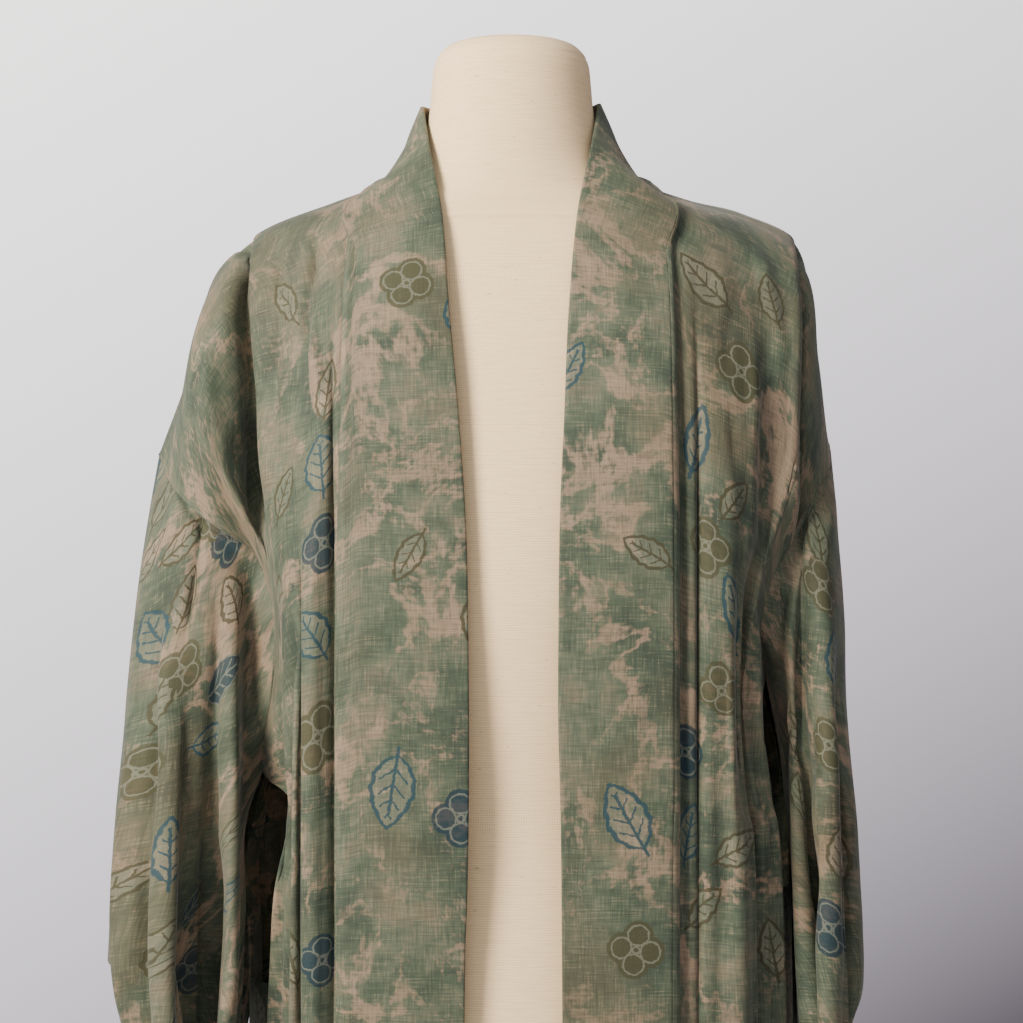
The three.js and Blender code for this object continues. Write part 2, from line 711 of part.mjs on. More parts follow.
const goreStops = levelStops.filter((level) => level >= openingFoot);
const goreColumns = 2;
const goreBow = 4;

function goreSheet(side) {
  const rows = goreStops.map((level) => {
    const front = new THREE.Vector3(...bodyPoint(side.front, 1, level));
    const back = new THREE.Vector3(...bodyPoint(side.back, 1, level));
    return Array.from({ length: goreColumns + 1 }, (_, i) => {
      const p = front.clone().lerp(back, i / goreColumns);
      p.x += goreBow * Math.sin((Math.PI * i) / goreColumns);
      return place(side, p.toArray());
    });
  });
  return new Sheet().grid(rows, side.sign > 0);
}

// Outward direction of a body panel at a place.
const acrossProbe = 0.05;
const levelProbe = 0.2;
function bodyNormal(side, panel, across, level) {
  const at = (a, l) => new THREE.Vector3(...place(side, bodyPoint(panel, a, l)));
  const a = Math.max(across, acrossProbe);
  const alongRun = at(a, level + levelProbe).sub(at(a, Math.max(level - levelProbe, 0)));
  const acrossRun = at(a + acrossProbe, level).sub(at(a - acrossProbe, level));
  return alongRun.cross(acrossRun).multiplyScalar(side.sign * panel.turn).normalize();
}

// The collar lies on the margin of the body panels, moved out, and folds at its inner edge.
const neckLevels = 3;
const neckEase = 1.4;
const collarLift = clothThick / 2 + layGap + collarThick / 2;

function marginPoint(side, panel, across, level, lift = collarLift) {
  const point = new THREE.Vector3(...place(side, bodyPoint(panel, across, level)));
  return point.addScaledVector(bodyNormal(side, panel, across, level), lift);
}

const frontMargin = (side, level) => [2, 1, 0].map(
  (column) => marginPoint(side, side.front, acrossStops[column], level),
);

// Round the back of the neck the margin runs to the collar's own lower edge.
function neckMargin(side, level) {
  const [shoulder] = frontMargin(side, 0);
  const start = [side.sign * shoulder.x, -shoulder.y, shoulder.z];
  const edge = [start, ...neckEdge];
  const places = levelPlaces.slice(0, edge.length);
  const outer = new THREE.Vector3(...place(side, curveThrough(places, edge, level)));
  const seam = marginPoint(side, side.back, 0, level, collarLift + neckEase);
  return [outer, outer.clone().lerp(seam, 0.5), seam];
}

function collarStation(side, panel, fold, level) {
  const margin = panel.turn > 0 ? frontMargin(side, level) : neckMargin(side, level);
  const places = levelPlaces.slice(0, fold.length);
  const inner = new THREE.Vector3(...place(side, curveThrough(places, fold, level)));
  const bow = margin[2].clone().lerp(inner, 0.5);
  bow.addScaledVector(bodyNormal(side, panel, 0, level), collarBow);
  return [...margin, bow, inner].map((p) => p.toArray());
}

function collarSheet() {
  const { left, right } = sides;
  const frontStops = levelStops.slice();
  const neckStops = levelStops.filter((level) => level > 0 && level <= neckLevels);
  const rows = [
    ...frontStops.slice().reverse().map((k) => collarStation(left, left.front, left.fold, k)),
    ...neckStops.map((k) => collarStation(left, left.back, left.neckFold, k)),
    ...neckStops.slice(0, -1).reverse().map((k) => collarStation(right, right.back, right.neckFold, k)),
    ...frontStops.map((k) => collarStation(right, right.front, right.fold, k)),
  ];
  return new Sheet().grid(rows, true);
}

// Rings of the dress form, closed at the top and under the lower rim round the pole.
const ringPoints = 28;

function torsoGeometry() {
  const points = [];
  for (const [up, width, front, back] of formRings) {
    for (let i = 0; i < ringPoints; i += 1) {
      const turn = (2 * Math.PI * i) / ringPoints;
      const depth = Math.sin(turn) < 0 ? front : back;
      points.push([width * Math.cos(turn), depth * Math.sin(turn), up]);
    }
  }
  const socket = (up, radius) => {
    for (let i = 0; i < ringPoints; i += 1) {
      const turn = (2 * Math.PI * i) / ringPoints;
      points.push([radius * Math.cos(turn), radius * Math.sin(turn), up]);
    }
  };
  const top = formRings[0][0];
  const low = formRings[formRings.length - 1][0];
  socket(low, poleRadius + socketGap);
  socket(low + socketDepth, poleRadius + socketGap);
  const rings = formRings.length + 2;
  const index = [];
  for (let k = 0; k + 1 < rings; k += 1) {
    for (let i = 0; i < ringPoints; i += 1) {
      const a = k * ringPoints + i;
      const b = k * ringPoints + ((i + 1) % ringPoints);
      index.push(a, a + ringPoints, b, b, a + ringPoints, b + ringPoints);
    }
  }
  const crown = points.length;
  points.push([0, 0, top + crownRise]);
  const roof = points.length;
  points.push([0, 0, low + socketDepth]);
  for (let i = 0; i < ringPoints; i += 1) {
    const next = (i + 1) % ringPoints;
    index.push(crown, i, next);
    index.push(roof, (rings - 1) * ringPoints + next, (rings - 1) * ringPoints + i);
  }
  const geometry = new THREE.BufferGeometry();
  geometry.setAttribute('position', new THREE.Float32BufferAttribute(points.flat(), 3));
  geometry.setIndex(index);
  geometry.computeVertexNormals();
  return geometry;
}

// A turned solid from its half outline, radius and height.
function turned(outline) {
  const geometry = new THREE.LatheGeometry(outline.map(([r, z]) => new THREE.Vector2(r, z)), ringPoints);
  return geometry.rotateX(Math.PI / 2);
}

const standMaterial = (color) => new THREE.MeshStandardMaterial({ color, roughness: 0.35, metalness: 0.9 });

function poleMesh() {
  const outline = [[0, poleFoot - basePoleRise], [poleRadius, poleFoot - basePoleRise],
    [poleRadius, poleTop], [0, poleTop]];
  return new THREE.Mesh(turned(outline), standMaterial(steelColour));
}

function baseMesh() {
  const floor = poleFoot - basePoleRise - socketGap;
  const hole = poleRadius + socketGap;
  const outline = [[0, 0], [baseRadius, 0], [baseRadius, baseEdge],
    [baseRadius - baseBevel, baseEdge + baseBevel], [hole + baseCollarWide, baseThick],
    [hole, baseThick], [hole, floor], [0, floor]];
  return new THREE.Mesh(turned(outline), standMaterial(baseColour));
}

const clothMaterial = () => new THREE.MeshStandardMaterial({
  color: clothColour, roughness: 0.85, metalness: 0,
});
const canvasMaterial = new THREE.MeshStandardMaterial({
  color: canvasColour, roughness: 0.9, metalness: 0,
});

const sheets = {};
for (const [name, side] of Object.entries(sides)) {
  sheets[`body_${name}`] = bodySheet(side);
  sheets[`sleeve_${name}`] = sleeveSheet(side);
  sheets[`gore_${name}`] = goreSheet(side);
}
const normalOf = sharedNormals(Object.values(sheets));

const part = new THREE.Group();
function add(name, mesh) {
  mesh.name = name;
  part.add(mesh);
}

for (const [name, sheet] of Object.entries(sheets)) {
  add(name, new THREE.Mesh(thicken(sheet, clothThick, normalOf), clothMaterial()));
}
const collar = collarSheet();
const collarNormals = sharedNormals([collar]);
add('collar', new THREE.Mesh(thicken(collar, collarThick, collarNormals), clothMaterial()));
add('form_torso', new THREE.Mesh(torsoGeometry(), canvasMaterial));
add('form_pole', poleMesh());
add('form_base', baseMesh());

export default part;
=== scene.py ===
# %% [markdown]
# # A silk haori on a canvas dress form
# A haori is the short jacket worn over a kimono. Here it hangs open on a limbless dress form, as in a
# close view of a shop display. Every panel is one strip of narrow cloth, so each piece below is a
# sheet: a grid of points worked out from a few guide lines, and given a thin wall.

# %% Load the fixed model
import bpy
import functools
import math
import numpy as np
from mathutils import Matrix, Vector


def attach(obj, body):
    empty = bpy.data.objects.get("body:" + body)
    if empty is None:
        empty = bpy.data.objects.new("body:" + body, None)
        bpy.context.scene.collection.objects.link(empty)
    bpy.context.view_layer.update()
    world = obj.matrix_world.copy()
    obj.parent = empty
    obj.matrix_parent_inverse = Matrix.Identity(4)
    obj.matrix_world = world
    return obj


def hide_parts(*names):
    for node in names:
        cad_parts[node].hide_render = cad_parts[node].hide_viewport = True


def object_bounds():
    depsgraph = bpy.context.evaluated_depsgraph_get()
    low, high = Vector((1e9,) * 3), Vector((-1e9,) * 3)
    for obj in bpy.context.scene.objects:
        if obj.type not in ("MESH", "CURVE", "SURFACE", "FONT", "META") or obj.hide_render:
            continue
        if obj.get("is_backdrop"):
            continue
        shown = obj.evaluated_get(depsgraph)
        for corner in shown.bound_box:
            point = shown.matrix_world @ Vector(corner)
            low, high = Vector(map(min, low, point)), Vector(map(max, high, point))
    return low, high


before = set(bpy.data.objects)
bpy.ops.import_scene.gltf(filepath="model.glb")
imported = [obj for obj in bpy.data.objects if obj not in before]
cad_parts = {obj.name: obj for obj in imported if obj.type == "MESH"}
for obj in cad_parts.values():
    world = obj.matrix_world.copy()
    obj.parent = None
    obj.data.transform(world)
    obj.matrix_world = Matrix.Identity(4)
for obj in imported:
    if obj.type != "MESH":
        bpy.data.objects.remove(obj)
cad_box = [list(corner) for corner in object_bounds()]
print("nodes:", len(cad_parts))

# %% [markdown]
# ## Camera
# The eye stands 1.5 m in front of the pole, level with the chest, and looks straight ahead. One
# picture point is 0.66 mm wide on the upright plane through the pole, which gives the lens.

# %% Camera
MM = 0.001
EYE = np.array([0.0, -1.5, 1.18])
PICTURE = 1023
POINT = 0.66 * MM
camera_data = bpy.data.cameras.new("Camera")
camera_data.sensor_width = 36.0
camera_data.lens = 36.0 * -EYE[1] / (PICTURE * POINT)
camera_data.clip_start = 0.05
camera = bpy.data.objects.new("Camera", camera_data)
camera.location = EYE
camera.rotation_euler = (math.pi / 2, 0.0, 0.0)
bpy.context.collection.objects.link(camera)
bpy.context.scene.camera = camera
print("lens", round(camera_data.lens, 1), "mm")

# %% [markdown]
# ## Colours and nodes
# Paint and dye are picked as sRGB hex values, the way a screen shows them. Shading adds light, so it
# needs linear values: one function turns one into the other. Another adds a node, sets it and wires it.

# %% Colour and node helpers
def linear(hex_value):
    """sRGB hex to linear RGBA: c / 12.92 below 0.04045, else ((c + 0.055) / 1.055) to the power 2.4."""
    channels = [int(hex_value[i:i + 2], 16) / 255 for i in (1, 3, 5)]
    return [c / 12.92 if c <= 0.04045 else ((c + 0.055) / 1.055) ** 2.4 for c in channels] + [1.0]


# What a word after the dot in a kind sets, as in "Math.ADD".
CHOICES = {"Math": "operation", "VectorMath": "operation", "MapRange": "interpolation_type",
           "Mix": "data_type"}


def add(tree, kind, inputs=(), out=0, **settings):
    """Adds one node and returns an output of it. Inputs come in order or by name: a socket is linked,
    a value is set."""
    kind, _, choice = kind.partition(".")
    made = tree.nodes.new("ShaderNode" + kind)
    if choice:
        setattr(made, CHOICES[kind], choice)
    for key, value in settings.items():
        setattr(made, key, value)
    for key, value in inputs.items() if isinstance(inputs, dict) else enumerate(inputs):
        if isinstance(value, bpy.types.NodeSocket):
            tree.links.new(value, made.inputs[key])
        else:
            made.inputs[key].default_value = value
    return made.outputs[out]


def new_material(name, **values):
    """A material, its node tree and its shader, with constant values set on the shader's sockets."""
    material = bpy.data.materials.new(name)
    material.use_nodes = True
    shader = material.node_tree.nodes["Principled BSDF"]
    for key, value in values.items():
        shader.inputs[key.replace("_", " ")].default_value = value
    return material, material.node_tree, shader


print("mid grey is", round(linear("#808080")[0], 3), "in linear light")

# %% [markdown]
# ## Curves and folds
# Two tools shape all the cloth. One draws a smooth curve through a few given points. The other
# adds folds: soft ridges and troughs that start at one level and deepen towards another, as gathered
# cloth does under its own weight.

# %% Curve, smooth step and folds
def smooth(s):
    """t * t * (3 - 2 t), with t = s held between 0 and 1."""
    t = np.clip(s, 0.0, 1.0)
    return t * t * (3.0 - 2.0 * t)


def curve_through(places, rows, at):
    """Cubic Hermite curve: rows[k] at places[k], with each slope taken from the two neighbours."""
    places, rows, at = (np.asarray(v, float) for v in (places, rows, at))
    last = len(places) - 1
    k = np.searchsorted(places[1:-1], at, side="left")
    low, high = np.maximum(np.arange(last + 1) - 1, 0), np.minimum(np.arange(last + 1) + 1, last)
    wide = (slice(None),) + (None,) * (rows.ndim - 1)
    slope = (rows[high] - rows[low]) / (places[high] - places[low])[wide]
    span = (places[k + 1] - places[k])[wide]
    s = np.clip((at - places[k])[wide] / span, 0.0, 1.0)
    pull = s * (1.0 - s) * span * ((1.0 - s) * slope[k] - s * slope[k + 1])
    return rows[k] + (rows[k + 1] - rows[k]) * s * s * (3.0 - 2.0 * s) + pull


FOLD_FADE = 0.08
ACROSS_STEP = 0.02


def fold_push(folds, across, along, end):
    """Sum of raised cosines across the cloth, each times a smooth step along it, zero at the seams."""
    push = 0.0
    for middle, drift, half, depth, start, full in folds:
        off = np.clip(np.abs(across - middle - drift * along / end) / half, 0.0, 1.0)
        grown = smooth((along - start) / (full - start))
        push = push + depth * 0.5 * (1.0 + np.cos(np.pi * off)) * grown
    return push * smooth((1.0 - np.abs(across)) / FOLD_FADE)


def pushed(rows_at, across, turn, push):
    """Each point moved by push along the level normal of its row: the row's run turned a quarter."""
    run = rows_at(across + ACROSS_STEP) - rows_at(across - ACROSS_STEP)
    length = np.hypot(run[..., 0], run[..., 1])
    length = np.where(length == 0.0, 1.0, length)
    point = rows_at(across).copy()
    point[..., 0] -= turn * push * run[..., 1] / length
    point[..., 1] += turn * push * run[..., 0] / length
    return point


# %% [markdown]
# ## The dress form's sections
# The form is a stack of rings, each half an ellipse in front and half behind. The cloth needs them
# too, because it may not cut into the form.

# %% Form rings and clearance
# Millimetres. Columns: up, half width, front depth, back depth. The front of the two rings at the
# neck's foot (1382 and 1374) is a few millimetres deeper than the solid's, so that it has no kink.
FORM_RINGS = [
    (1489.5, 20, 19, 19), (1488, 36, 33, 33), (1483, 45.5, 41, 42), (1475, 50.5, 45.5, 46.5),
    (1460, 52.5, 47, 49), (1443, 54, 48, 51), (1426, 57, 49, 54), (1409, 62, 49, 57),
    (1397, 70, 50, 60), (1388, 82, 51, 63), (1382, 101, 53, 65), (1374, 133.5, 54.5, 67),
    (1364, 157, 57, 70), (1351, 168, 61, 72), (1330, 170, 67, 74), (1290, 163, 77, 78),
    (1240, 150, 88, 82), (1190, 140, 95, 84), (1130, 132, 97, 84), (1060, 120, 92, 81),
    (980, 112, 86, 80), (900, 124, 92, 92), (830, 134, 96, 99), (780, 134, 95, 98),
    (765, 130, 91, 94), (760, 124, 85, 88),
]
FORM_CLEAR = 5.0


def form_at(up):
    """Half width and the two depths of the form at a height, from the curve through its rings."""
    rings = np.array(FORM_RINGS[::-1])
    return curve_through(rings[:, 0], rings, up)


def clear_of_form(point, clear=FORM_CLEAR):
    """A point inside the form's ellipse, grown by the clearance, is moved out to that ellipse."""
    up = point[..., 2]
    ring = form_at(np.clip(up.ravel(), FORM_RINGS[-1][0], FORM_RINGS[0][0])).reshape(up.shape + (4,))
    width = ring[..., 1] + clear
    depth = np.where(point[..., 1] > 0, ring[..., 2], ring[..., 3]) + clear
    reach = np.hypot(point[..., 0] / width, point[..., 1] / depth)
    inside = (reach < 1) & (reach > 0) & (up > FORM_RINGS[-1][0]) & (up < FORM_RINGS[0][0])
    grow = np.where(inside, 1.0 / np.maximum(reach, 1e-9), 1.0)
    return point * np.stack([grow, grow, np.ones_like(grow)], -1)


print("form rings:", len(FORM_RINGS))


# %% [markdown]
# ## Guide lines of the body panels
# A haori body is one straight strip a side: up the front, over the shoulder and down the back. Its
# guide lines run from the shoulder ridge to the hem through eleven levels. The columns are: out from
# the middle, towards the front, up.

# %% Body tables
LEFT_FRONT = [
    # collar seam
    (0, [(72, 0, 1399), (88, 28, 1382.5), (95, 54, 1351), (95, 79, 1300), (93, 95, 1240),
        (91, 101, 1165), (90, 103, 1075), (88.5, 103, 1000), (88, 103, 940), (88, 103, 880),
        (88, 104, 640)]),
    # pleat edge
    (0.19, [(118, 0, 1383), (118, 36, 1368.5), (120, 63, 1327), (122, 84, 1273), (123, 93, 1216),
        (125, 97, 1147), (127, 99, 1062), (128, 99, 990), (128, 99, 935), (128, 99, 880),
        (129, 100, 638)]),
    # deep fold from the shoulder tip
    (0.37, [(166, 0, 1363.5), (167, 27, 1343.5), (171, 36, 1301), (168, 40, 1255), (160, 48, 1200),
        (140, 84, 1138), (135, 92, 1054), (132, 92, 990), (134, 88, 935), (135, 86, 878),
        (140, 86, 636)]),
    # cap of the shoulder
    (0.53, [(196, 0, 1333.5), (199, 30, 1306), (195, 52, 1263), (184, 56, 1222), (163, 48, 1176),
        (145, 80, 1126), (140, 84, 1044), (133, 84, 990), (139, 76, 936), (142, 70, 877),
        (152, 72, 634)]),
    # front of the cap
    (0.77, [(211, 0, 1275), (212, 35, 1250), (198, 58, 1216), (177, 56, 1186), (155, 60, 1150),
        (146, 73, 1094), (144, 66, 1030), (134, 72, 991), (144, 60, 938), (148, 54, 877),
        (160, 56, 632)]),
    # sleeve seam and side edge
    (1, [(232, 0, 1217), (216, 34, 1193), (190, 56, 1172), (162, 46, 1150), (150, 59, 1112),
        (152, 57, 1066), (160, 34, 1015), (138, 58, 992), (149, 45, 940), (152, 40, 876),
        (166, 38, 630)]),
]
RIGHT_FRONT = [
    (0, [(74, 0, 1399), (88, 28, 1382.5), (94, 54, 1351), (94, 79, 1300), (93, 95, 1240),
        (93, 101, 1175), (93, 103, 1092), (93, 103, 1050), (93, 103, 1010), (92, 103, 945),
        (91, 104, 640)]),
    (0.19, [(118, 0, 1384.5), (116, 36, 1371), (114, 62, 1332), (113, 82, 1279), (113, 92, 1224),
        (113, 96, 1160), (113, 97, 1083), (113, 97, 1045), (114, 97, 1005), (115, 97, 942),
        (116, 98, 638)]),
    (0.36, [(152, 0, 1376), (154, 30, 1357), (151, 56, 1315), (146, 76, 1264), (142, 87, 1210),
        (138, 92, 1150), (137, 93, 1078), (138, 93, 1042), (140, 93, 1002), (143, 93, 940),
        (145, 95, 637)]),
    (0.52, [(189, 0, 1356), (190, 30, 1333), (184, 52, 1292), (178, 62, 1244), (170, 68, 1194),
        (154, 80, 1136), (146, 83, 1079), (146, 81, 1042), (151, 78, 1000), (158, 75, 939),
        (163, 78, 636)]),
    (0.77, [(197.5, 0, 1297), (198, 33, 1275), (192, 53, 1243), (183, 59, 1208), (166, 68, 1164),
        (151, 76, 1118), (148, 67, 1080), (149, 67, 1044), (157, 62, 1002), (165, 59, 939),
        (172, 62, 636)]),
    (1, [(209, 0, 1223), (205, 28, 1208), (194, 44, 1191), (181, 52, 1166), (165, 60, 1137),
        (158, 54, 1107), (164, 28, 1078), (158, 48, 1048), (163, 46, 1010), (171, 40, 938),
        (179, 40, 635)]),
]
LEFT_BACK = [
    # neck edge and centre-back seam
    (0, [(72, 0, 1399), (56, -44, 1397), (27, -68, 1393), (0, -76, 1389), (0, -92, 1300),
        (0, -98, 1215), (0, -92, 1110), (0, -92, 1040), (0, -96, 970), (0, -104, 880),
        (0, -112, 628)]),
    # beside the centre back
    (0.19, [(118, 0, 1383), (108, -40, 1375.5), (86, -64, 1363.5), (66, -80, 1342), (60, -94, 1280),
        (60, -100, 1200), (60, -95, 1100), (60, -95, 1034), (61, -99, 965), (62, -106, 877),
        (64, -116, 626)]),
    # shoulder blade
    (0.37, [(166, 0, 1363.5), (160, -36, 1345.5), (146, -62, 1321), (130, -78, 1288),
        (120, -88, 1235), (113, -92, 1175), (106, -90, 1088), (105, -90, 1028), (106, -92, 960),
        (110, -98, 875), (114, -106, 624)]),
    # back of the cap
    (0.53, [(196, 0, 1333.5), (194, -38, 1302), (184, -62, 1268), (169, -74, 1238),
        (154, -78, 1198), (143, -79, 1150), (136, -78, 1074), (135, -77, 1020), (136, -76, 955),
        (140, -80, 873), (146, -90, 622)]),
    # back of the armhole
    (0.77, [(211, 0, 1275), (210, -38, 1250), (199, -62, 1225), (184, -71, 1199), (167, -70, 1165),
        (156, -66, 1118), (149, -57, 1048), (151, -50, 1003), (157, -44, 948), (158, -42, 872),
        (165, -64, 620)]),
    # sleeve seam and side edge
    (1, [(232, 0, 1217), (223, -36, 1198), (207, -58, 1178), (188, -66, 1153), (172, -60, 1120),
        (164, -46, 1075), (164, -22, 1015), (170, -12, 982), (176, 4, 940), (170, 16, 876),
        (179, -30, 620)]),
]
RIGHT_BACK = [
    (0, [(74, 0, 1399), (57, -44, 1397), (27, -68, 1393), (0, -76, 1389), (0, -92, 1300),
        (0, -98, 1215), (0, -92, 1110), (0, -92, 1040), (0, -96, 970), (0, -104, 880),
        (0, -112, 628)]),
    (0.19, [(118, 0, 1384.5), (108, -40, 1377), (86, -64, 1364.5), (66, -80, 1342), (60, -94, 1280),
        (60, -100, 1200), (60, -95, 1106), (60, -95, 1046), (61, -98, 985), (62, -105, 900),
        (64, -116, 628)]),
    (0.36, [(152, 0, 1376), (150, -36, 1358), (140, -62, 1330), (128, -78, 1294), (120, -88, 1241),
        (113, -92, 1182), (107, -90, 1100), (107, -90, 1046), (109, -92, 990), (113, -96, 915),
        (118, -106, 628)]),
    (0.52, [(189, 0, 1356), (188, -36, 1330), (179, -60, 1292), (167, -74, 1255), (154, -79, 1212),
        (144, -79, 1160), (138, -78, 1096), (139, -77, 1050), (142, -76, 995), (147, -80, 922),
        (152, -90, 628)]),
    (0.77, [(197.5, 0, 1297), (197, -34, 1275), (191, -58, 1247), (181, -70, 1214),
        (167, -72, 1178), (157, -68, 1136), (150, -57, 1085), (154, -50, 1044), (161, -42, 995),
        (166, -40, 928), (172, -60, 628)]),
    (1, [(209, 0, 1223), (206, -30, 1210), (198, -50, 1194), (186, -62, 1172), (174, -60, 1145),
        (165, -46, 1113), (164, -20, 1078), (171, -14, 1046), (179, 0, 1000), (181, 14, 938),
        (186, -28, 628)]),
]
# Columns: middle across, drift across, half width, depth, first level, level of full depth.
LEFT_FRONT_FOLDS = [
    (0.12, 0.0, 0.05, -2.5, 3.5, 6), (0.27, 0.0, 0.05, 3, 4.5, 7), (0.44, 0.02, 0.08, -9, 5.5, 8),
    (0.62, 0.04, 0.08, 8, 5.5, 8), (0.82, 0.0, 0.08, -7, 6.5, 8.5),
]
RIGHT_FRONT_FOLDS = [
    (0.13, 0.0, 0.06, -4, 1.5, 5), (0.3, 0.04, 0.08, 5, 1.5, 6), (0.46, 0.05, 0.08, -8, 1.5, 6),
    (0.63, 0.05, 0.08, 8, 2, 7), (0.82, 0.02, 0.08, -7, 4.5, 8),
]
BACK_FOLDS = [
    (0.13, 0.02, 0.07, -13, 2.5, 6), (0.27, 0.02, 0.07, 13, 2.5, 6),
    (0.42, 0.02, 0.08, -15, 1.8, 5.5), (0.57, 0.02, 0.08, 14, 1.8, 5.5),
    (0.72, 0.0, 0.07, -13, 1.5, 6), (0.86, -0.01, 0.07, 9, 2.5, 6.5),
]
LEVELS = np.arange(11)
UNDERARM, OPENING_FOOT, HEM = 6, 9, 10


def panel_points(panel, across, level):
    """Guide lines read at each level, a curve through them across, folds added: (levels, across, 3)."""
    guides, folds, turn = panel
    across = np.asarray(across, float)
    lines = np.stack([curve_through(LEVELS, rows, level) for _, rows in guides])
    places = [place for place, _ in guides]
    rows_at = lambda a: curve_through(places, lines, np.clip(a, 0.0, 1.0)).swapaxes(0, 1)
    push = fold_push(folds, across[None], np.asarray(level)[:, None], HEM)
    point = pushed(rows_at, across, turn, push * smooth(across / FOLD_FADE)[None])
    point[..., 0] = np.maximum(point[..., 0], 0.0)
    return clear_of_form(point)


print("guide lines a side:", len(LEFT_FRONT) + len(LEFT_BACK))

# %% [markdown]
# ## Guide lines of the sleeves
# With no arm inside, a sleeve hangs from its shoulder seam: its top edge falls steeply as a ridge, and
# the cloth in front and behind falls in folds. Its rows fan out from the top of that seam. The lower
# part of the cuff and the bottom are sewn, so front and back meet there.

# %% Sleeve tables
SLEEVE_SHARES = [0, 0.12, 0.25, 0.4, 0.55, 0.7, 0.85, 1]
LEFT_SLEEVE = [
    # back seam edge below the underarm is taken from its own line
    (-0.8, [(232, 0, 1217), (224, -44, 1184), (204, -68, 1140), (184, -78, 1066), (186, -82, 968),
        (191, -80, 895), (197, -70, 812), (203, 0, 738)]),
    (-0.62, [(232, 0, 1217), (228, -40, 1176), (216, -64, 1122), (206, -84, 1032), (208, -92, 930),
        (212, -94, 852), (217, -86, 762), (222, 0, 664)]),
    (-0.44, [(232, 0, 1217), (233, -30, 1170), (232, -46, 1116), (232, -62, 1042), (236, -68, 975),
        (239, -72, 915), (240, -66, 855), (239, -50, 792)]),
    (-0.22, [(232, 0, 1217), (237, -17, 1173), (242, -24, 1126), (247, -31, 1072), (251, -36, 1018),
        (255, -40, 967), (258, -42, 912), (256, -40, 862)]),
    # outer ridge
    (0, [(232, 0, 1217), (238.5, 0, 1177), (244.5, 0, 1134), (249.5, 0, 1084), (254, 0, 1034),
        (259, 0, 984), (263, 0, 934), (266, 0, 884)]),
    # outer face
    (0.22, [(232, 0, 1217), (236, 19, 1172), (241, 27, 1126), (246, 33, 1072), (250, 37, 1018),
        (254, 40, 967), (254, 44, 912), (243, 44, 862)]),
    # front face
    (0.44, [(232, 0, 1217), (230, 34, 1168), (229, 49, 1114), (233, 60, 1040), (237, 66, 972),
        (240, 70, 912), (240, 68, 852), (239, 52, 792)]),
    # crest
    (0.62, [(232, 0, 1217), (222, 43, 1168), (210, 62, 1116), (210, 76, 1018), (212, 84, 926),
        (214, 88, 850), (218, 84, 762), (222, 0, 664)]),
    # broad valley
    (0.76, [(232, 0, 1217), (215, 46, 1173), (192, 60, 1130), (189, 60, 1044), (191, 52, 962),
        (193, 46, 890), (197, 44, 808), (204, 0, 736)]),
    # inner crest
    (0.88, [(232, 0, 1217), (211, 46, 1178), (179, 58, 1138), (174, 69, 1060), (174, 76, 980),
        (176, 82, 912), (180, 80, 834), (194, 0, 756)]),
    # deep valley beside the seam
    (0.95, [(232, 0, 1217), (208, 45, 1181), (170, 48, 1145), (169, 45, 1064), (173, 54, 986),
        (171, 68, 924), (175, 68, 846), (190, 0, 764)]),
]
RIGHT_SLEEVE = [
    (-0.8, [(209, 0, 1223), (208, -38, 1192), (200, -62, 1154), (191, -76, 1090), (194, -82, 990),
        (198, -82, 905), (202, -72, 820), (207, 0, 742)]),
    (-0.62, [(209, 0, 1223), (211, -36, 1184), (209, -60, 1138), (206, -82, 1052), (208, -92, 946),
        (211, -94, 860), (213, -86, 768), (215, 0, 668)]),
    (-0.44, [(209, 0, 1223), (211, -28, 1178), (211, -46, 1126), (209, -62, 1052), (208, -68, 982),
        (207, -72, 920), (208, -66, 858), (209, -48, 794)]),
    (-0.22, [(209, 0, 1223), (210.5, -16, 1180), (213, -24, 1134), (216, -31, 1080),
        (218, -36, 1024), (220, -40, 970), (222, -42, 914), (223, -38, 862)]),
    (0, [(209, 0, 1223), (210.5, 0, 1183), (213, 0, 1139), (216, 0, 1090), (219, 0, 1038),
        (222, 0, 985), (225, 0, 928), (228, 0, 874)]),
    (0.22, [(209, 0, 1223), (211, 18, 1178), (214, 27, 1131), (216, 34, 1078), (218, 40, 1022),
        (220, 44, 970), (221, 46, 914), (216, 42, 866)]),
    (0.44, [(209, 0, 1223), (208, 32, 1178), (208, 48, 1128), (210, 62, 1052), (213, 70, 982),
        (215, 74, 920), (216, 72, 862), (208, 58, 800)]),
    (0.62, [(209, 0, 1223), (205, 39, 1182), (200, 57, 1142), (198, 74, 1048), (203, 82, 944),
        (206, 86, 858), (210, 82, 766), (214, 0, 668)]),
    (0.76, [(209, 0, 1223), (202, 41, 1186), (192, 57, 1150), (185, 62, 1072), (190, 60, 980),
        (194, 58, 900), (198, 56, 816), (204, 0, 740)]),
    (0.88, [(209, 0, 1223), (200, 42, 1189), (186, 55, 1157), (175, 62, 1096), (181, 60, 1000),
        (187, 66, 918), (192, 68, 838), (199, 0, 760)]),
    (0.95, [(209, 0, 1223), (199, 42, 1190), (183, 52, 1161), (170, 53, 1104), (177, 45, 1008),
        (184, 50, 930), (188, 54, 850), (197, 0, 766)]),
]
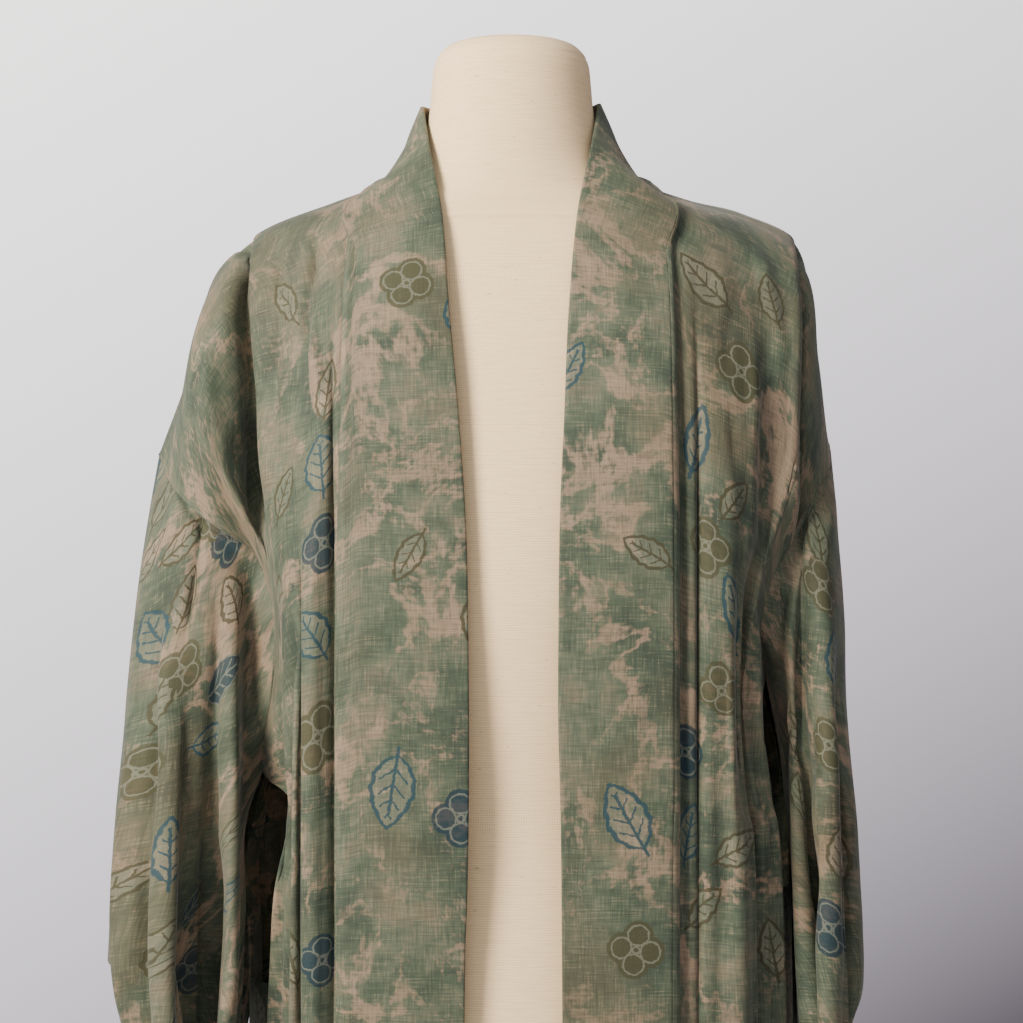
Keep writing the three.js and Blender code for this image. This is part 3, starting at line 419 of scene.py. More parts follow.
# Open edges below the underarm. Columns: share of the line, out, front, up.
LEFT_OPEN_FRONT = [
    (0.5, 160, 34, 1015), (0.6, 171, 44, 978), (0.7, 169, 58, 930), (0.85, 173, 56, 852),
    (1, 188, 0, 768),
]
LEFT_OPEN_BACK = [
    (0.5, 164, -22, 1015), (0.6, 172, -46, 978), (0.7, 173, -58, 930), (0.85, 177, -52, 852),
    (1, 188, 0, 768),
]
RIGHT_OPEN_FRONT = [
    (0.5, 164, 28, 1078), (0.6, 174, 34, 1020), (0.7, 181, 38, 940), (0.85, 186, 40, 856),
    (1, 196, 0, 770),
]
RIGHT_OPEN_BACK = [
    (0.5, 164, -20, 1078), (0.6, 176, -44, 1020), (0.7, 183, -58, 940), (0.85, 189, -52, 856),
    (1, 196, 0, 770),
]
# Columns: middle across, drift, half width, depth, first share, share of full depth.
LEFT_SLEEVE_FOLDS = [
    (-0.9, 0.02, 0.07, -16, 0.2, 0.6), (-0.76, 0.02, 0.08, 16, 0.15, 0.55),
    (-0.6, 0.0, 0.08, -26, 0.15, 0.6), (-0.44, 0.0, 0.08, 20, 0.2, 0.6),
    (-0.28, 0.0, 0.08, -20, 0.25, 0.65), (0.13, 0.02, 0.07, -8, 0.45, 0.85),
    (0.3, 0.02, 0.09, 5, 0.3, 0.8), (0.5, 0.0, 0.09, -12, 0.45, 0.95),
    (0.63, 0.0, 0.07, 9, 0.3, 0.8), (0.77, 0.0, 0.06, -12, 0.25, 0.7),
    (0.89, 0.0, 0.05, 6, 0.4, 0.8),
]
RIGHT_SLEEVE_FOLDS = [
    (-0.9, 0.02, 0.07, -16, 0.2, 0.6), (-0.76, 0.02, 0.08, 18, 0.15, 0.55),
    (-0.6, 0.0, 0.08, -28, 0.15, 0.6), (-0.44, 0.0, 0.08, 22, 0.2, 0.6),
    (-0.27, 0.0, 0.08, -22, 0.25, 0.65), (0.15, 0.0, 0.07, -7, 0.45, 0.85),
    (0.33, 0.0, 0.08, 3, 0.3, 0.8), (0.49, 0.0, 0.08, -22, 0.35, 0.8),
    (0.64, 0.0, 0.07, 16, 0.3, 0.8), (0.77, 0.0, 0.06, -18, 0.3, 0.75),
    (0.89, 0.0, 0.05, 10, 0.4, 0.8),
]
SEAM_SHARE, CUFF_SHARE, CLOSE_FROM = 0.5, 0.44, 0.86


def sleeve_edge(guides, open_edge, share):
    """The body's own seam edge down to the underarm, then the table of the open edge."""
    seam = curve_through(LEVELS, guides[-1][1], share / SEAM_SHARE * UNDERARM)
    table = np.array(open_edge)
    below = curve_through(table[:, 0], table[:, 1:], share)
    return np.where((share <= SEAM_SHARE)[:, None], seam, below)


def sleeve_points(side, across, share):
    """Rows through back edge, guides and front edge, folds added, then drawn shut where sewn."""
    places = [-1.0] + [place for place, _ in side["sleeve"]] + [1.0]

    def lines_at(s):
        edges = [sleeve_edge(side[face][0], side["open_" + face], s) for face in ("back", "front")]
        guides = [curve_through(SLEEVE_SHARES, rows, s) for _, rows in side["sleeve"]]
        return np.stack([edges[0]] + guides + [edges[1]])

    lines = lines_at(share)
    rows_at = lambda a: curve_through(places, lines, np.clip(a, -1.0, 1.0)).swapaxes(0, 1)
    push = fold_push(side["sleeve_folds"], across[None], share[:, None], 1.0)
    point = pushed(rows_at, across, -1, push)
    seat = curve_through(places, lines_at(np.array([1.0])), np.abs(across)).swapaxes(0, 1)
    near_end = np.maximum(0.0, (share - CLOSE_FROM) / (1.0 - CLOSE_FROM))
    shut = 1.0 - np.sqrt(np.maximum(0.0, 1.0 - near_end ** 2))
    is_open = np.sqrt(np.maximum(0.0, 1.0 - (across / CUFF_SHARE) ** 2))
    close = shut[:, None] * (1.0 - is_open)[None]
    point[..., 0] += (seat[..., 0] - point[..., 0]) * close
    point[..., 1] *= 1.0 - close
    point[..., 2] += (seat[..., 2] - point[..., 2]) * close
    return point


# %% Both sides
LEFT_COLLAR_FOLD = [
    (59, 0, 1446), (54, 32, 1416), (45, 60, 1367), (40, 82, 1306), (34, 97, 1242), (29, 105, 1165),
    (27.5, 107, 1075), (27.5, 107, 1000), (28.5, 107, 940), (30, 107, 880), (31, 107, 640),
]
RIGHT_COLLAR_FOLD = [
    (58, 0, 1448), (53, 32, 1418), (43, 60, 1369), (37, 82, 1306), (34, 97, 1242), (31, 105, 1175),
    (30, 107, 1092), (30, 107, 1050), (31, 107, 1010), (32, 107, 945), (34, 107, 640),
]
LEFT_NECK_FOLD = [
    (59, 0, 1446), (50, -40, 1451), (25, -58, 1456), (0, -62, 1457),
]
RIGHT_NECK_FOLD = [
    (58, 0, 1448), (49, -40, 1452), (25, -58, 1456), (0, -62, 1457),
]
NECK_EDGE = [
    (74, -57, 1391.5), (41, -78, 1382), (0, -86, 1371),
]
SIDES = {
    "left": {
        "sign": -1, "front": (LEFT_FRONT, LEFT_FRONT_FOLDS, 1), "back": (LEFT_BACK, BACK_FOLDS, -1),
        "sleeve": LEFT_SLEEVE, "sleeve_folds": LEFT_SLEEVE_FOLDS, "open_front": LEFT_OPEN_FRONT,
        "open_back": LEFT_OPEN_BACK, "fold": LEFT_COLLAR_FOLD, "neck_fold": LEFT_NECK_FOLD,
    },
    "right": {
        "sign": 1, "front": (RIGHT_FRONT, RIGHT_FRONT_FOLDS, 1), "back": (RIGHT_BACK, BACK_FOLDS, -1),
        "sleeve": RIGHT_SLEEVE, "sleeve_folds": RIGHT_SLEEVE_FOLDS, "open_front": RIGHT_OPEN_FRONT,
        "open_back": RIGHT_OPEN_BACK, "fold": RIGHT_COLLAR_FOLD, "neck_fold": RIGHT_NECK_FOLD,
    },
}


def placed(side, points):
    """Out, front, up in millimetres to x, y, z in metres, on the side's own half."""
    return points * np.array([side["sign"], -1.0, 1.0]) * MM


print("sides:", ", ".join(SIDES))

# %% [markdown]
# ## From grid to cloth
# A grid of points becomes a mesh of small quads. Cloth keeps its own coordinates: the distance across
# and along it in metres, so weave, dye and print follow each fold. The wall is added by Solidify.

# %% Grid to mesh
WALL = 1.3 * MM


def grid_normals(points):
    """Cross product of the two grid directions, made one long."""
    along, over = np.gradient(points, axis=0), np.gradient(points, axis=1)
    normal = np.cross(along, over)
    length = np.linalg.norm(normal, axis=-1, keepdims=True)
    return normal / np.where(length < 1e-12, 1.0, length)


# The two sides are cut from different lengths of the bolt, so that their dye doesn't mirror. Metres.
BOLT_SHIFT = np.array((0.37, 0.61))


def cloth_coordinates(points, centre, fans=False):
    """Across: distance along a row from its centre column. Down: distance along the middle column, or
    where rows fan out along a point's own column, and then a step across is the root of its length
    squared less its fall squared."""
    falls = np.linalg.norm(np.diff(points, axis=0), axis=-1)
    if not fans:
        falls = np.repeat(falls[:, points.shape[1] // 2, None], points.shape[1], axis=1)
    down = np.concatenate([np.zeros((1, points.shape[1])), np.cumsum(falls, axis=0)])
    steps = np.linalg.norm(np.diff(points, axis=1), axis=-1)
    level = np.sqrt(np.maximum(steps ** 2 - np.diff(down, axis=1) ** 2, (0.3 * steps) ** 2))
    over = np.concatenate([np.zeros((len(points), 1)), np.cumsum(level, axis=1)], axis=1)
    return np.stack([over - over[:, centre:centre + 1], down], -1)


def grid_faces(rows, columns):
    """Four corner numbers of each small quad of a grid."""
    first = (np.arange(rows - 1)[:, None] * columns + np.arange(columns - 1)).ravel()
    return np.stack([first, first + 1, first + columns + 1, first + columns], -1)


def corner_map(mesh, name, values):
    """A UV map from one pair of numbers for each face corner."""
    layer = mesh.uv_layers.new(name=name)
    layer.data.foreach_set("uv", np.ascontiguousarray(values, np.float32).ravel())


def grid_object(name, points, flip, cloth):
    """Mesh of a grid: equal points merged, empty faces dropped, with cloth coordinates at corners."""
    faces = grid_faces(*points.shape[:2])
    faces = faces[:, ::-1] if flip else faces
    faces = np.concatenate([faces[:, [0, 1, 2]], faces[:, [0, 2, 3]]])
    keys = np.round(points.reshape(-1, 3), 6)
    _, first, same = np.unique(keys, axis=0, return_index=True, return_inverse=True)
    same = same.ravel()
    merged = same[faces]
    whole = (merged != np.roll(merged, -1, axis=1)).all(axis=1)
    merged, faces = merged[whole], faces[whole]
    mesh = bpy.data.meshes.new(name)
    mesh.from_pydata(points.reshape(-1, 3)[first], [], merged)
    mesh.polygons.foreach_set("use_smooth", np.ones(len(merged), bool))
    corner_map(mesh, "cloth", cloth.reshape(-1, 2)[faces])
    mesh.update()
    made = bpy.data.objects.new(name, mesh)
    bpy.context.collection.objects.link(made)
    return made


def edges_drawn(points, columns, share):
    """Each named edge column moved towards the one beside it by a share of their distance."""
    for column in columns:
        beside = 1 if column == 0 else -2
        points[:, column] += (points[:, beside] - points[:, column]) * share
    return points


def add_wall(piece, thick):
    """Solidify grows the sheet by half its wall to each side."""
    wall = piece.modifiers.new("wall", "SOLIDIFY")
    wall.thickness = thick
    wall.offset = 0.0
    return piece


def finer(stops, times):
    """Each step of a row of stops cut into so many."""
    stops = np.asarray(stops, float)
    return np.interp(np.arange((len(stops) - 1) * times + 1) / times, np.arange(len(stops)), stops)


print("cloth wall", WALL / MM, "mm")

# %% [markdown]
# ## Creases
# Silk that has been folded away and then hung keeps soft uneven creases, and pulls in lines from the
# points that carry it. Each is placed as a line in the front view (millimetres out from the
# middle and up), with a width and a depth, and fades at both ends.

# %% Crease function
# A trough deeper than PINCHED (mm) draws its lips together, by PINCH over PINCH_REACH times its width.
PINCHED, PINCH, PINCH_REACH = -4.0, 0.45, 1.8
# A crease fades over this share of its length at each end, and this many columns from a panel's edge.
END_FADE, EDGE_COLUMNS = 0.25, 5.0


def seen(points):
    """Where the eye sees a point on the upright plane through the pole, in millimetres."""
    flat = EYE + (points - EYE) * (-EYE[1] / (points[..., 1:2] - EYE[1]))
    return flat[..., [0, 2]] / MM


def creased(points, creases, facing, out=1.0):
    """Raised by depth * exp(-(d / width)^2) along the normal, d being the distance to a bowed line. A
    deep trough also draws its two lips together. Out is the side that the first column points to."""
    normal = grid_normals(points)
    if np.mean(normal[..., 1] * facing) < 0:
        normal = -normal
    view = points[..., [0, 2]] * np.array([out, 1.0]) / MM
    lift, pinch = np.zeros(points.shape[:2]), np.zeros(view.shape)
    faces_it = smooth((normal[..., 1] * facing + 0.15) / 0.35)
    for x0, z0, x1, z1, bow, width, depth in creases:
        start, run = np.array([x0, z0]), np.array([x1 - x0, z1 - z0])
        size = np.hypot(*run)
        sideways = np.array([-run[1], run[0]])
        along = ((view - start) @ run) / size ** 2
        off = ((view - start) @ sideways) / size
        off = off - bow * 4.0 * np.clip(along, 0.0, 1.0) * (1.0 - np.clip(along, 0.0, 1.0))
        uneven = 1.0 + 0.25 * np.sin(along * 9.0 + x0) + 0.15 * np.sin(along * 17.0 + z1)
        ends = smooth(along / END_FADE) * smooth((1.0 - along) / END_FADE)
        lift += depth * uneven * ends * np.exp(-((off / width) ** 2))
        if depth < PINCHED:
            pull = PINCH * ends * off * np.exp(-((off / (PINCH_REACH * width)) ** 2))
            pinch -= pull[..., None] * sideways / size
    rim = smooth(np.arange(points.shape[1]) / EDGE_COLUMNS)
    edge = (rim * rim[::-1])[None]
    pinch *= (faces_it * edge)[..., None] * np.array([out, 1.0]) * MM
    raised = points + normal * (lift * faces_it * edge * MM)[..., None]
    return raised + np.insert(pinch, 1, 0.0, axis=-1)


print("a deep trough's lips close by a share of", PINCH)


# %% [markdown]
# ## Body panels
# The two body strips carry the collar in front and meet in the centre-back seam. Diagonal pulls run
# from the neck point and the shoulder tip, and a pressed pleat runs down beside the collar.

# %% Body creases and mesh
# Columns: x and z of both ends (mm), bow (mm), width (mm), depth (mm, inwards below 0).
LEFT_BODY_CREASES = [
    (177, 1385, 160, 1150, 1, 4.4, -15.0), (188, 1345, 177, 1215, 1, 6, 2.6),
    (164, 1345, 148, 1165, 1, 6, 4.0), (132, 1210, 131, 625, 0, 2.4, -7.0),
    (122, 1240, 121, 625, 0, 6, 3.0), (111, 1345, 111, 620, 0, 2.2, -6.0),
    (139, 1200, 138, 640, 0, 4, 2.5), (147, 1180, 144, 900, 0, 4.0, -3.0),
    (130, 1366, 148, 1231, -3, 6, 3.6), (124, 1366, 136, 1235, -2, 4, -4.2),
    (128, 1352, 116, 1240, 2, 3, 3.0), (120, 1330, 126, 1225, 4, 2.4, -3.4),
    (150, 1360, 150, 1230, -2, 4, -4.2), (144, 1330, 128, 1235, 3, 4, -2.6),
    (141, 1370, 160, 1260, -3, 5, 3.0),
]
RIGHT_BODY_CREASES = [
    (116, 1355, 115, 625, 0, 2.6, -5.5), (124, 1330, 122, 640, 0, 5, 2.0),
    (107, 1370, 108, 640, 1, 4, 1.2), (150, 1312, 151, 1120, 2, 5, 2.6),
    (160, 1300, 158, 1120, -2, 5, -3.2), (170, 1318, 166, 1160, 2, 5, 2.6),
    (138, 1330, 142, 1190, -4, 5, -2.4), (130, 1360, 136, 1220, 3, 6, 2.0),
    (143, 1160, 141, 940, 1, 4, -3.2), (191, 1380, 184, 1130, -1, 3.4, -14.0),
    (182, 1340, 176, 1150, -1, 5, 3.6), (152, 1120, 156, 920, 2, 5, 3.0),
    (132, 1120, 134, 900, 0, 5, -2.4), (156, 1355, 168, 1290, 2, 5, 2.4),
]
BACK_CREASES = [
    (140, 1330, 96, 1210, 4, 9, 3.0), (120, 1350, 70, 1240, 3, 8, -2.5),
    (60, 1300, 52, 1080, 2, 9, 2.5), (30, 1340, 24, 1120, -1, 8, -2.0),
    (86, 1180, 84, 900, 3, 7, 2.5), (118, 1120, 112, 800, 2, 6, -2.5),
    (46, 1020, 42, 700, -2, 7, 2.0), (70, 940, 74, 660, 1, 6, -2.0),
    (130, 980, 128, 660, 2, 6, 2.5),
]
# A seam's roll, how wide it is in columns, how far a sewn edge is drawn back, and the least distance
# from the form once creased (mm).
SEAM_ROLL, ROLL_COLUMNS, SEAM_DRAW, CREASE_CLEAR = 0.8 * MM, 1.6, 0.35, 2.5
BODY_ACROSS = np.unique(np.concatenate([np.linspace(0, 1, 151), [0.003, 0.997]]))
BODY_LEVELS = finer(LEVELS, 11)


def rolled(points, normal_sign):
    """The last rows beside a seam are drawn in a little, so that two panels meet in a soft groove."""
    from_end = np.arange(points.shape[1])[::-1]
    dip = np.exp(-(from_end / ROLL_COLUMNS) ** 2) * SEAM_ROLL
    return points - grid_normals(points) * normal_sign * dip[None, :, None]


def body_piece(name, side, front_creases):
    """Back and front as one sheet, creased, cleared of the form and rolled at its seam."""
    front = placed(side, panel_points(side["front"], BODY_ACROSS, BODY_LEVELS))
    back = placed(side, panel_points(side["back"], BODY_ACROSS, BODY_LEVELS))
    front = creased(front, front_creases, -1.0, side["sign"])
    back = creased(back, BACK_CREASES, 1.0, side["sign"])
    front, back = (placed(side, clear_of_form(part / placed(side, np.ones(3)), CREASE_CLEAR))
                   for part in (front, back))
    points = np.concatenate([back[:0:-1], front])
    points = edges_drawn(rolled(points, -side["sign"]), (-1,), SEAM_DRAW)
    cloth = cloth_coordinates(points, 0) + side["sign"] * BOLT_SHIFT
    return grid_object(name, points, side["sign"] > 0, cloth), points


body_left, left_body_grid = body_piece("haori_body_left", SIDES["left"], LEFT_BODY_CREASES)
body_right, right_body_grid = body_piece("haori_body_right", SIDES["right"], RIGHT_BODY_CREASES)
print("body panel grid", left_body_grid.shape[:2])

# %% [markdown]
# ## Sleeves
# Each sleeve is one strip folded over the ridge. Its own creases run down from the shoulder seam.

# %% Sleeve creases and mesh
LEFT_SLEEVE_CREASES = [
    (203, 1080, 200, 800, 2, 8, -9.5), (190, 1160, 192, 860, 3, 7, 4.0),
    (224, 1160, 235, 860, -2, 5, -6.0), (214, 1130, 219, 840, 2, 6, 4.0),
    (179, 1120, 177, 900, 1, 4, 3.0), (240, 1060, 247, 850, -2, 6, 3.4),
    (229, 980, 226, 740, 2, 5, -5.5), (213, 900, 215, 700, 0, 6, 4.0),
    (241, 940, 240, 800, 0, 4, -3.0), (206, 1205, 226, 1110, 3, 6, 3.6),
    (196, 1200, 208, 1090, -2, 5, -4.4), (178, 980, 172, 780, 1, 5, -4.6),
]
RIGHT_SLEEVE_CREASES = [
    (191, 1380, 184, 1130, -1, 3.4, -9.0), (184, 1190, 178, 1000, 2, 5, -5.0),
    (196, 1150, 196, 940, 2, 6, 4.0), (206, 1110, 212, 880, -1, 6, -5.0),
    (190, 1020, 196, 780, 1, 5, 4.0), (204, 910, 208, 710, 1, 6, -5.0),
    (214, 1020, 219, 840, -1, 5, 3.2), (198, 1300, 206, 1150, 1, 5, 2.6),
]
SLEEVE_BACK_CREASES = [
    (210, 1170, 214, 800, 3, 6, 5.0), (224, 1130, 234, 800, -2, 6, -5.0),
    (197, 1130, 200, 780, 2, 6, -5.0), (186, 1080, 188, 760, 1, 5, 4.5),
    (238, 1030, 246, 840, 1, 6, 4.5), (176, 1020, 176, 740, -1, 5, -4.0),
    (206, 900, 212, 710, 1, 5, 4.0), (222, 880, 226, 730, 1, 5, -4.0),
]
BOTTOM_FADE = 0.06
SLEEVE_ACROSS = np.unique(np.concatenate([np.linspace(-1, 1, 161), [-0.997, 0.997]]))
SLEEVE_ROWS = np.concatenate([np.linspace(0, 0.5, 61), np.linspace(0.5, 0.86, 45)[1:],
                              0.86 + 0.14 * np.sin(np.linspace(0, math.pi / 2, 25)[1:])])


def sleeve_piece(name, side, front_creases):
    """Front and back creased on their own; the ridge and the sewn bottom stay as they are."""
    points = placed(side, sleeve_points(side, SLEEVE_ACROSS, SLEEVE_ROWS))
    middle = len(SLEEVE_ACROSS) // 2
    front = creased(points[:, middle:], front_creases, -1.0, side["sign"])
    back = creased(points[:, :middle + 1], SLEEVE_BACK_CREASES, 1.0, side["sign"])
    still = smooth((1.0 - SLEEVE_ROWS) / BOTTOM_FADE)[:, None, None]
    shaped = np.concatenate([back[:, :-1], front], axis=1)
    shaped[:, middle] = points[:, middle]
    points = edges_drawn(points + (shaped - points) * still, (0, -1), SEAM_DRAW)
    cloth = cloth_coordinates(points, middle, fans=True) + side["sign"] * BOLT_SHIFT
    return grid_object(name, points, side["sign"] < 0, cloth), points


sleeve_left, left_sleeve_grid = sleeve_piece(
    "haori_sleeve_left", SIDES["left"], LEFT_SLEEVE_CREASES)
sleeve_right, right_sleeve_grid = sleeve_piece(
    "haori_sleeve_right", SIDES["right"], RIGHT_SLEEVE_CREASES)
print("sleeve grid", left_sleeve_grid.shape[:2])

# %% [markdown]
# ## Gores
# A haori has a narrow gore at each side, set in between the front and the back edge below the side
# opening. It widens towards the hem and bows out slightly.

# %% Gores
GORE_BOW, GORE_DRAW, GORE_COLUMNS = 4.0, 0.25, 13


def gore_piece(name, side):
    """Straight from the front edge to the back edge at each level, bowed out by half a sine wave."""
    level = BODY_LEVELS[BODY_LEVELS >= OPENING_FOOT]
    front = panel_points(side["front"], [1.0], level)[:, 0]
    back = panel_points(side["back"], [1.0], level)[:, 0]
    share = np.linspace(0, 1, GORE_COLUMNS)
    points = front[:, None] + (back - front)[:, None] * share[None, :, None]
    points[..., 0] += GORE_BOW * np.sin(np.pi * share)[None]
    points = edges_drawn(placed(side, points), (0, -1), GORE_DRAW)
    return grid_object(name, points, side["sign"] > 0, cloth_coordinates(points, 0)), points


gore_left, left_gore_grid = gore_piece("haori_gore_left", SIDES["left"])
gore_right, right_gore_grid = gore_piece("haori_gore_right", SIDES["right"])
print("gore grid", left_gore_grid.shape[:2])

# %% [markdown]
# ## Collar
# The collar is one long strip, folded double. It lies on the margins of both fronts, stands up round
# the back of the neck and is folded at its inner edge. So it is a flat loop here: an upper layer, the
# rounded fold, and an under layer, carried along one path from hem to hem.

# %% Collar path
COLUMN = 1.0 / 24.0
# Half the body's wall, half the folded collar, and room for the body's creases.
COLLAR_LIFT = (0.8 + 1.6 + 1.5) * MM
NECK_EASE, COLLAR_BOW = 1.4 * MM, 1.5 * MM
# The two layers' distance from the middle sheet, their wall, and how far the outer edge drops and
# over which share of the width.
LAYER_APART, LAYER_WALL, EDGE_DROP, EDGE_SHARE = 0.95 * MM, 0.9 * MM, 1.3 * MM, 0.09


def panel_normal(side, panel, across, level):
    """Cross product of two short runs, down the panel and across it, facing away from the form."""
    at = lambda a, l: placed(side, panel_points(panel, a, np.maximum(l, 0.0)))
    a = np.maximum(np.asarray(across), 0.05)
    down = at(a, level + 0.2) - at(a, level - 0.2)
    over = at(a + 0.05, level) - at(a - 0.05, level)
    normal = np.cross(down, over) * side["sign"] * panel[2]
    return normal / np.linalg.norm(normal, axis=-1, keepdims=True)


def margin_points(side, panel, across, level, lift):
    """Points on a panel's margin, raised off it by lift along its normal."""
    points = placed(side, panel_points(panel, across, level))
    return points + panel_normal(side, panel, across, level) * lift


def collar_stations(side, front, level):
    """Five points across the collar at each level: margin edge, middle, seam, bow, folded edge."""
    panel = side["front"] if front else side["back"]
    if front:
        margin = margin_points(side, panel, [2 * COLUMN, COLUMN, 0.0], level, COLLAR_LIFT)
        fold = side["fold"]
    else:
        start = margin_points(side, side["front"], [2 * COLUMN], np.array([0.0]), COLLAR_LIFT)[0, 0]
        edge = np.array([start / placed(side, np.ones(3)), *NECK_EDGE])
        outer = placed(side, curve_through(LEVELS[:4], edge, level))
        seam = margin_points(side, panel, [0.0], level, COLLAR_LIFT + NECK_EASE)[:, 0]
        margin = np.stack([outer, (outer + seam) / 2, seam], axis=1)
        fold = side["neck_fold"]
    inner = placed(side, curve_through(LEVELS[:len(fold)], np.array(fold), level))
    bow = (margin[:, 2] + inner) / 2 + panel_normal(side, panel, [0.0], level)[:, 0] * COLLAR_BOW
    return np.concatenate([margin, bow[:, None], inner[:, None]], axis=1)


neck_levels = BODY_LEVELS[(BODY_LEVELS > 0) & (BODY_LEVELS <= 3)]
collar_path = np.concatenate([
    collar_stations(SIDES["left"], True, BODY_LEVELS[::-1]),
    collar_stations(SIDES["left"], False, neck_levels),
    collar_stations(SIDES["right"], False, neck_levels[:-1][::-1]),
    collar_stations(SIDES["right"], True, BODY_LEVELS),
])
print("collar stations", len(collar_path))

# %% Collar layers
COLLAR_CREASES = [
    (34, 1320, 96, 1325, 0, 1.6, -0.9), (34, 1084, 106, 1089, 0, 1.6, -0.8),
    (34, 976, 104, 979, 0, 1.6, -0.7), (92, 700, 30, 704, 0, 1.6, -0.7),
]
width_share = np.concatenate([[0.0, 0.015], np.linspace(0.04, 0.985, 22), [1.0]])
middle_sheet = curve_through([0, 0.25, 0.5, 0.75, 1.0], collar_path.swapaxes(0, 1), width_share)
middle_sheet = middle_sheet.swapaxes(0, 1)
sheet_normal = grid_normals(middle_sheet)
front_rows = np.abs(np.arange(len(middle_sheet)) - len(middle_sheet) / 2) > len(neck_levels) * 2
if np.mean(sheet_normal[front_rows][..., 1]) > 0:
    sheet_normal = -sheet_normal
middle_sheet -= sheet_normal * (EDGE_DROP * np.exp(-(width_share / EDGE_SHARE) ** 2))[None, :, None]
middle_sheet = creased(middle_sheet, COLLAR_CREASES, -1.0)
apart = (LAYER_APART * (0.4 + 0.6 * smooth(width_share / 0.08)))[None, :, None]
turn = np.linspace(0, math.pi, 7)[1:-1]
outward = middle_sheet[:, -1] - middle_sheet[:, -2]
outward /= np.linalg.norm(outward, axis=-1, keepdims=True)
bend = (middle_sheet[:, -1, None] + LAYER_APART * (
    np.cos(turn)[None, :, None] * sheet_normal[:, -1, None]
    + np.sin(turn)[None, :, None] * outward[:, None]))
upper, under = middle_sheet + sheet_normal * apart, middle_sheet - sheet_normal * apart
collar_grid = np.concatenate([upper, bend, under[:, ::-1]], axis=1)
row = np.arange(len(collar_grid))
ends = smooth(np.minimum(row, row[::-1]) / 2.0)[:, None, None]
flat_loop = np.concatenate([middle_sheet, np.repeat(middle_sheet[:, -1:], len(turn), axis=1),
                            middle_sheet[:, ::-1]], axis=1)
collar_grid = flat_loop + (collar_grid - flat_loop) * (0.5 + 0.5 * ends)
collar_cloth = cloth_coordinates(collar_grid, 0)
collar = grid_object("haori_collar", collar_grid, True, collar_cloth)
print("collar grid", collar_grid.shape[:2])

# %% [markdown]
# ## Cloth walls and the cut
# Solidify gives each sheet its wall. A real haori is cut from a strip about 36 cm wide: the body
# panels run over the shoulder in one piece, so their flat size is known from their width and length.

# %% Walls and sheet areas
def sheet_area(points):
    """Sum over a grid's quads of half the length of the cross product of their diagonals."""
    one, two = points[1:, 1:] - points[:-1, :-1], points[1:, :-1] - points[:-1, 1:]
    return float(np.linalg.norm(np.cross(one, two), axis=-1).sum() / 2)


sheets = ((body_left, left_body_grid), (body_right, right_body_grid),
          (sleeve_left, left_sleeve_grid), (sleeve_right, right_sleeve_grid),
          (gore_left, left_gore_grid), (gore_right, right_gore_grid), (collar, collar_grid))
for piece, grid in sheets:
    add_wall(piece, LAYER_WALL if piece is collar else WALL)
    print(f"{piece.name}: {sheet_area(grid):.3f} square metres")

# %% [markdown]
# ## Print
# The silk carries a scattered print of common leaves and blossoms. Where each one shows in front is
# given in a table, and the rest are strewn with a fixed seed. Each face stores its place inside the
# nearest motif in a second UV map, and its kind in a third, so the drawing itself is left to shading.

# %% Motif tables
BLUE_LEAF, OLIVE_LEAF, NAVY_BLOSSOM, OLIVE_BLOSSOM, LINE_BLOSSOM, NAVY_LEAF = 1, 2, 3, 4, 5, 6
# Columns: x and z where the eye sees it (mm), radius (mm), turn (degrees), kind, a leaf's slimness.
LEFT_BODY_MOTIFS = [
    (-125, 1214, 20, 90, BLUE_LEAF, 0.62), (-124, 1159, 17, 0, NAVY_BLOSSOM, 0.5),
    (-132, 1100, 18, 60, BLUE_LEAF, 0.6), (-120, 1260, 16, 100, OLIVE_LEAF, 0.5),
    (-115, 950, 17, 80, OLIVE_LEAF, 0.4), (-151, 887, 18, 80, OLIVE_LEAF, 0.35),
    (-149, 1320, 17, 60, OLIVE_LEAF, 0.5), (-128, 1032, 18, 20, OLIVE_BLOSSOM, 0.5),
    (-149, 1194, 17, 120, OLIVE_LEAF, 0.45), (-125, 884, 17, 0, NAVY_BLOSSOM, 0.5),
    (-153, 1122, 16, 30, OLIVE_LEAF, 0.5),
]
RIGHT_BODY_MOTIFS = [
    (125, 1331, 20, 150, OLIVE_LEAF, 0.55), (122, 1227, 22, 75, BLUE_LEAF, 0.38),
    (115, 1021, 18, 0, NAVY_BLOSSOM, 0.5), (118, 970, 17, 80, BLUE_LEAF, 0.45),
    (124, 920, 18, 40, OLIVE_LEAF, 0.5), (172, 891, 18, 100, OLIVE_LEAF, 0.5),
    (152, 1272, 18, 0, OLIVE_BLOSSOM, 0.5), (148, 1188, 17, 60, OLIVE_LEAF, 0.45),
    (148, 1115, 18, 110, BLUE_LEAF, 0.45), (139, 1062, 16, 10, OLIVE_BLOSSOM, 0.5),
    (151, 957, 18, 30, OLIVE_LEAF, 0.5), (128, 1158, 17, 0, OLIVE_BLOSSOM, 0.5),
    (171, 1320, 16, 120, OLIVE_LEAF, 0.5),
]
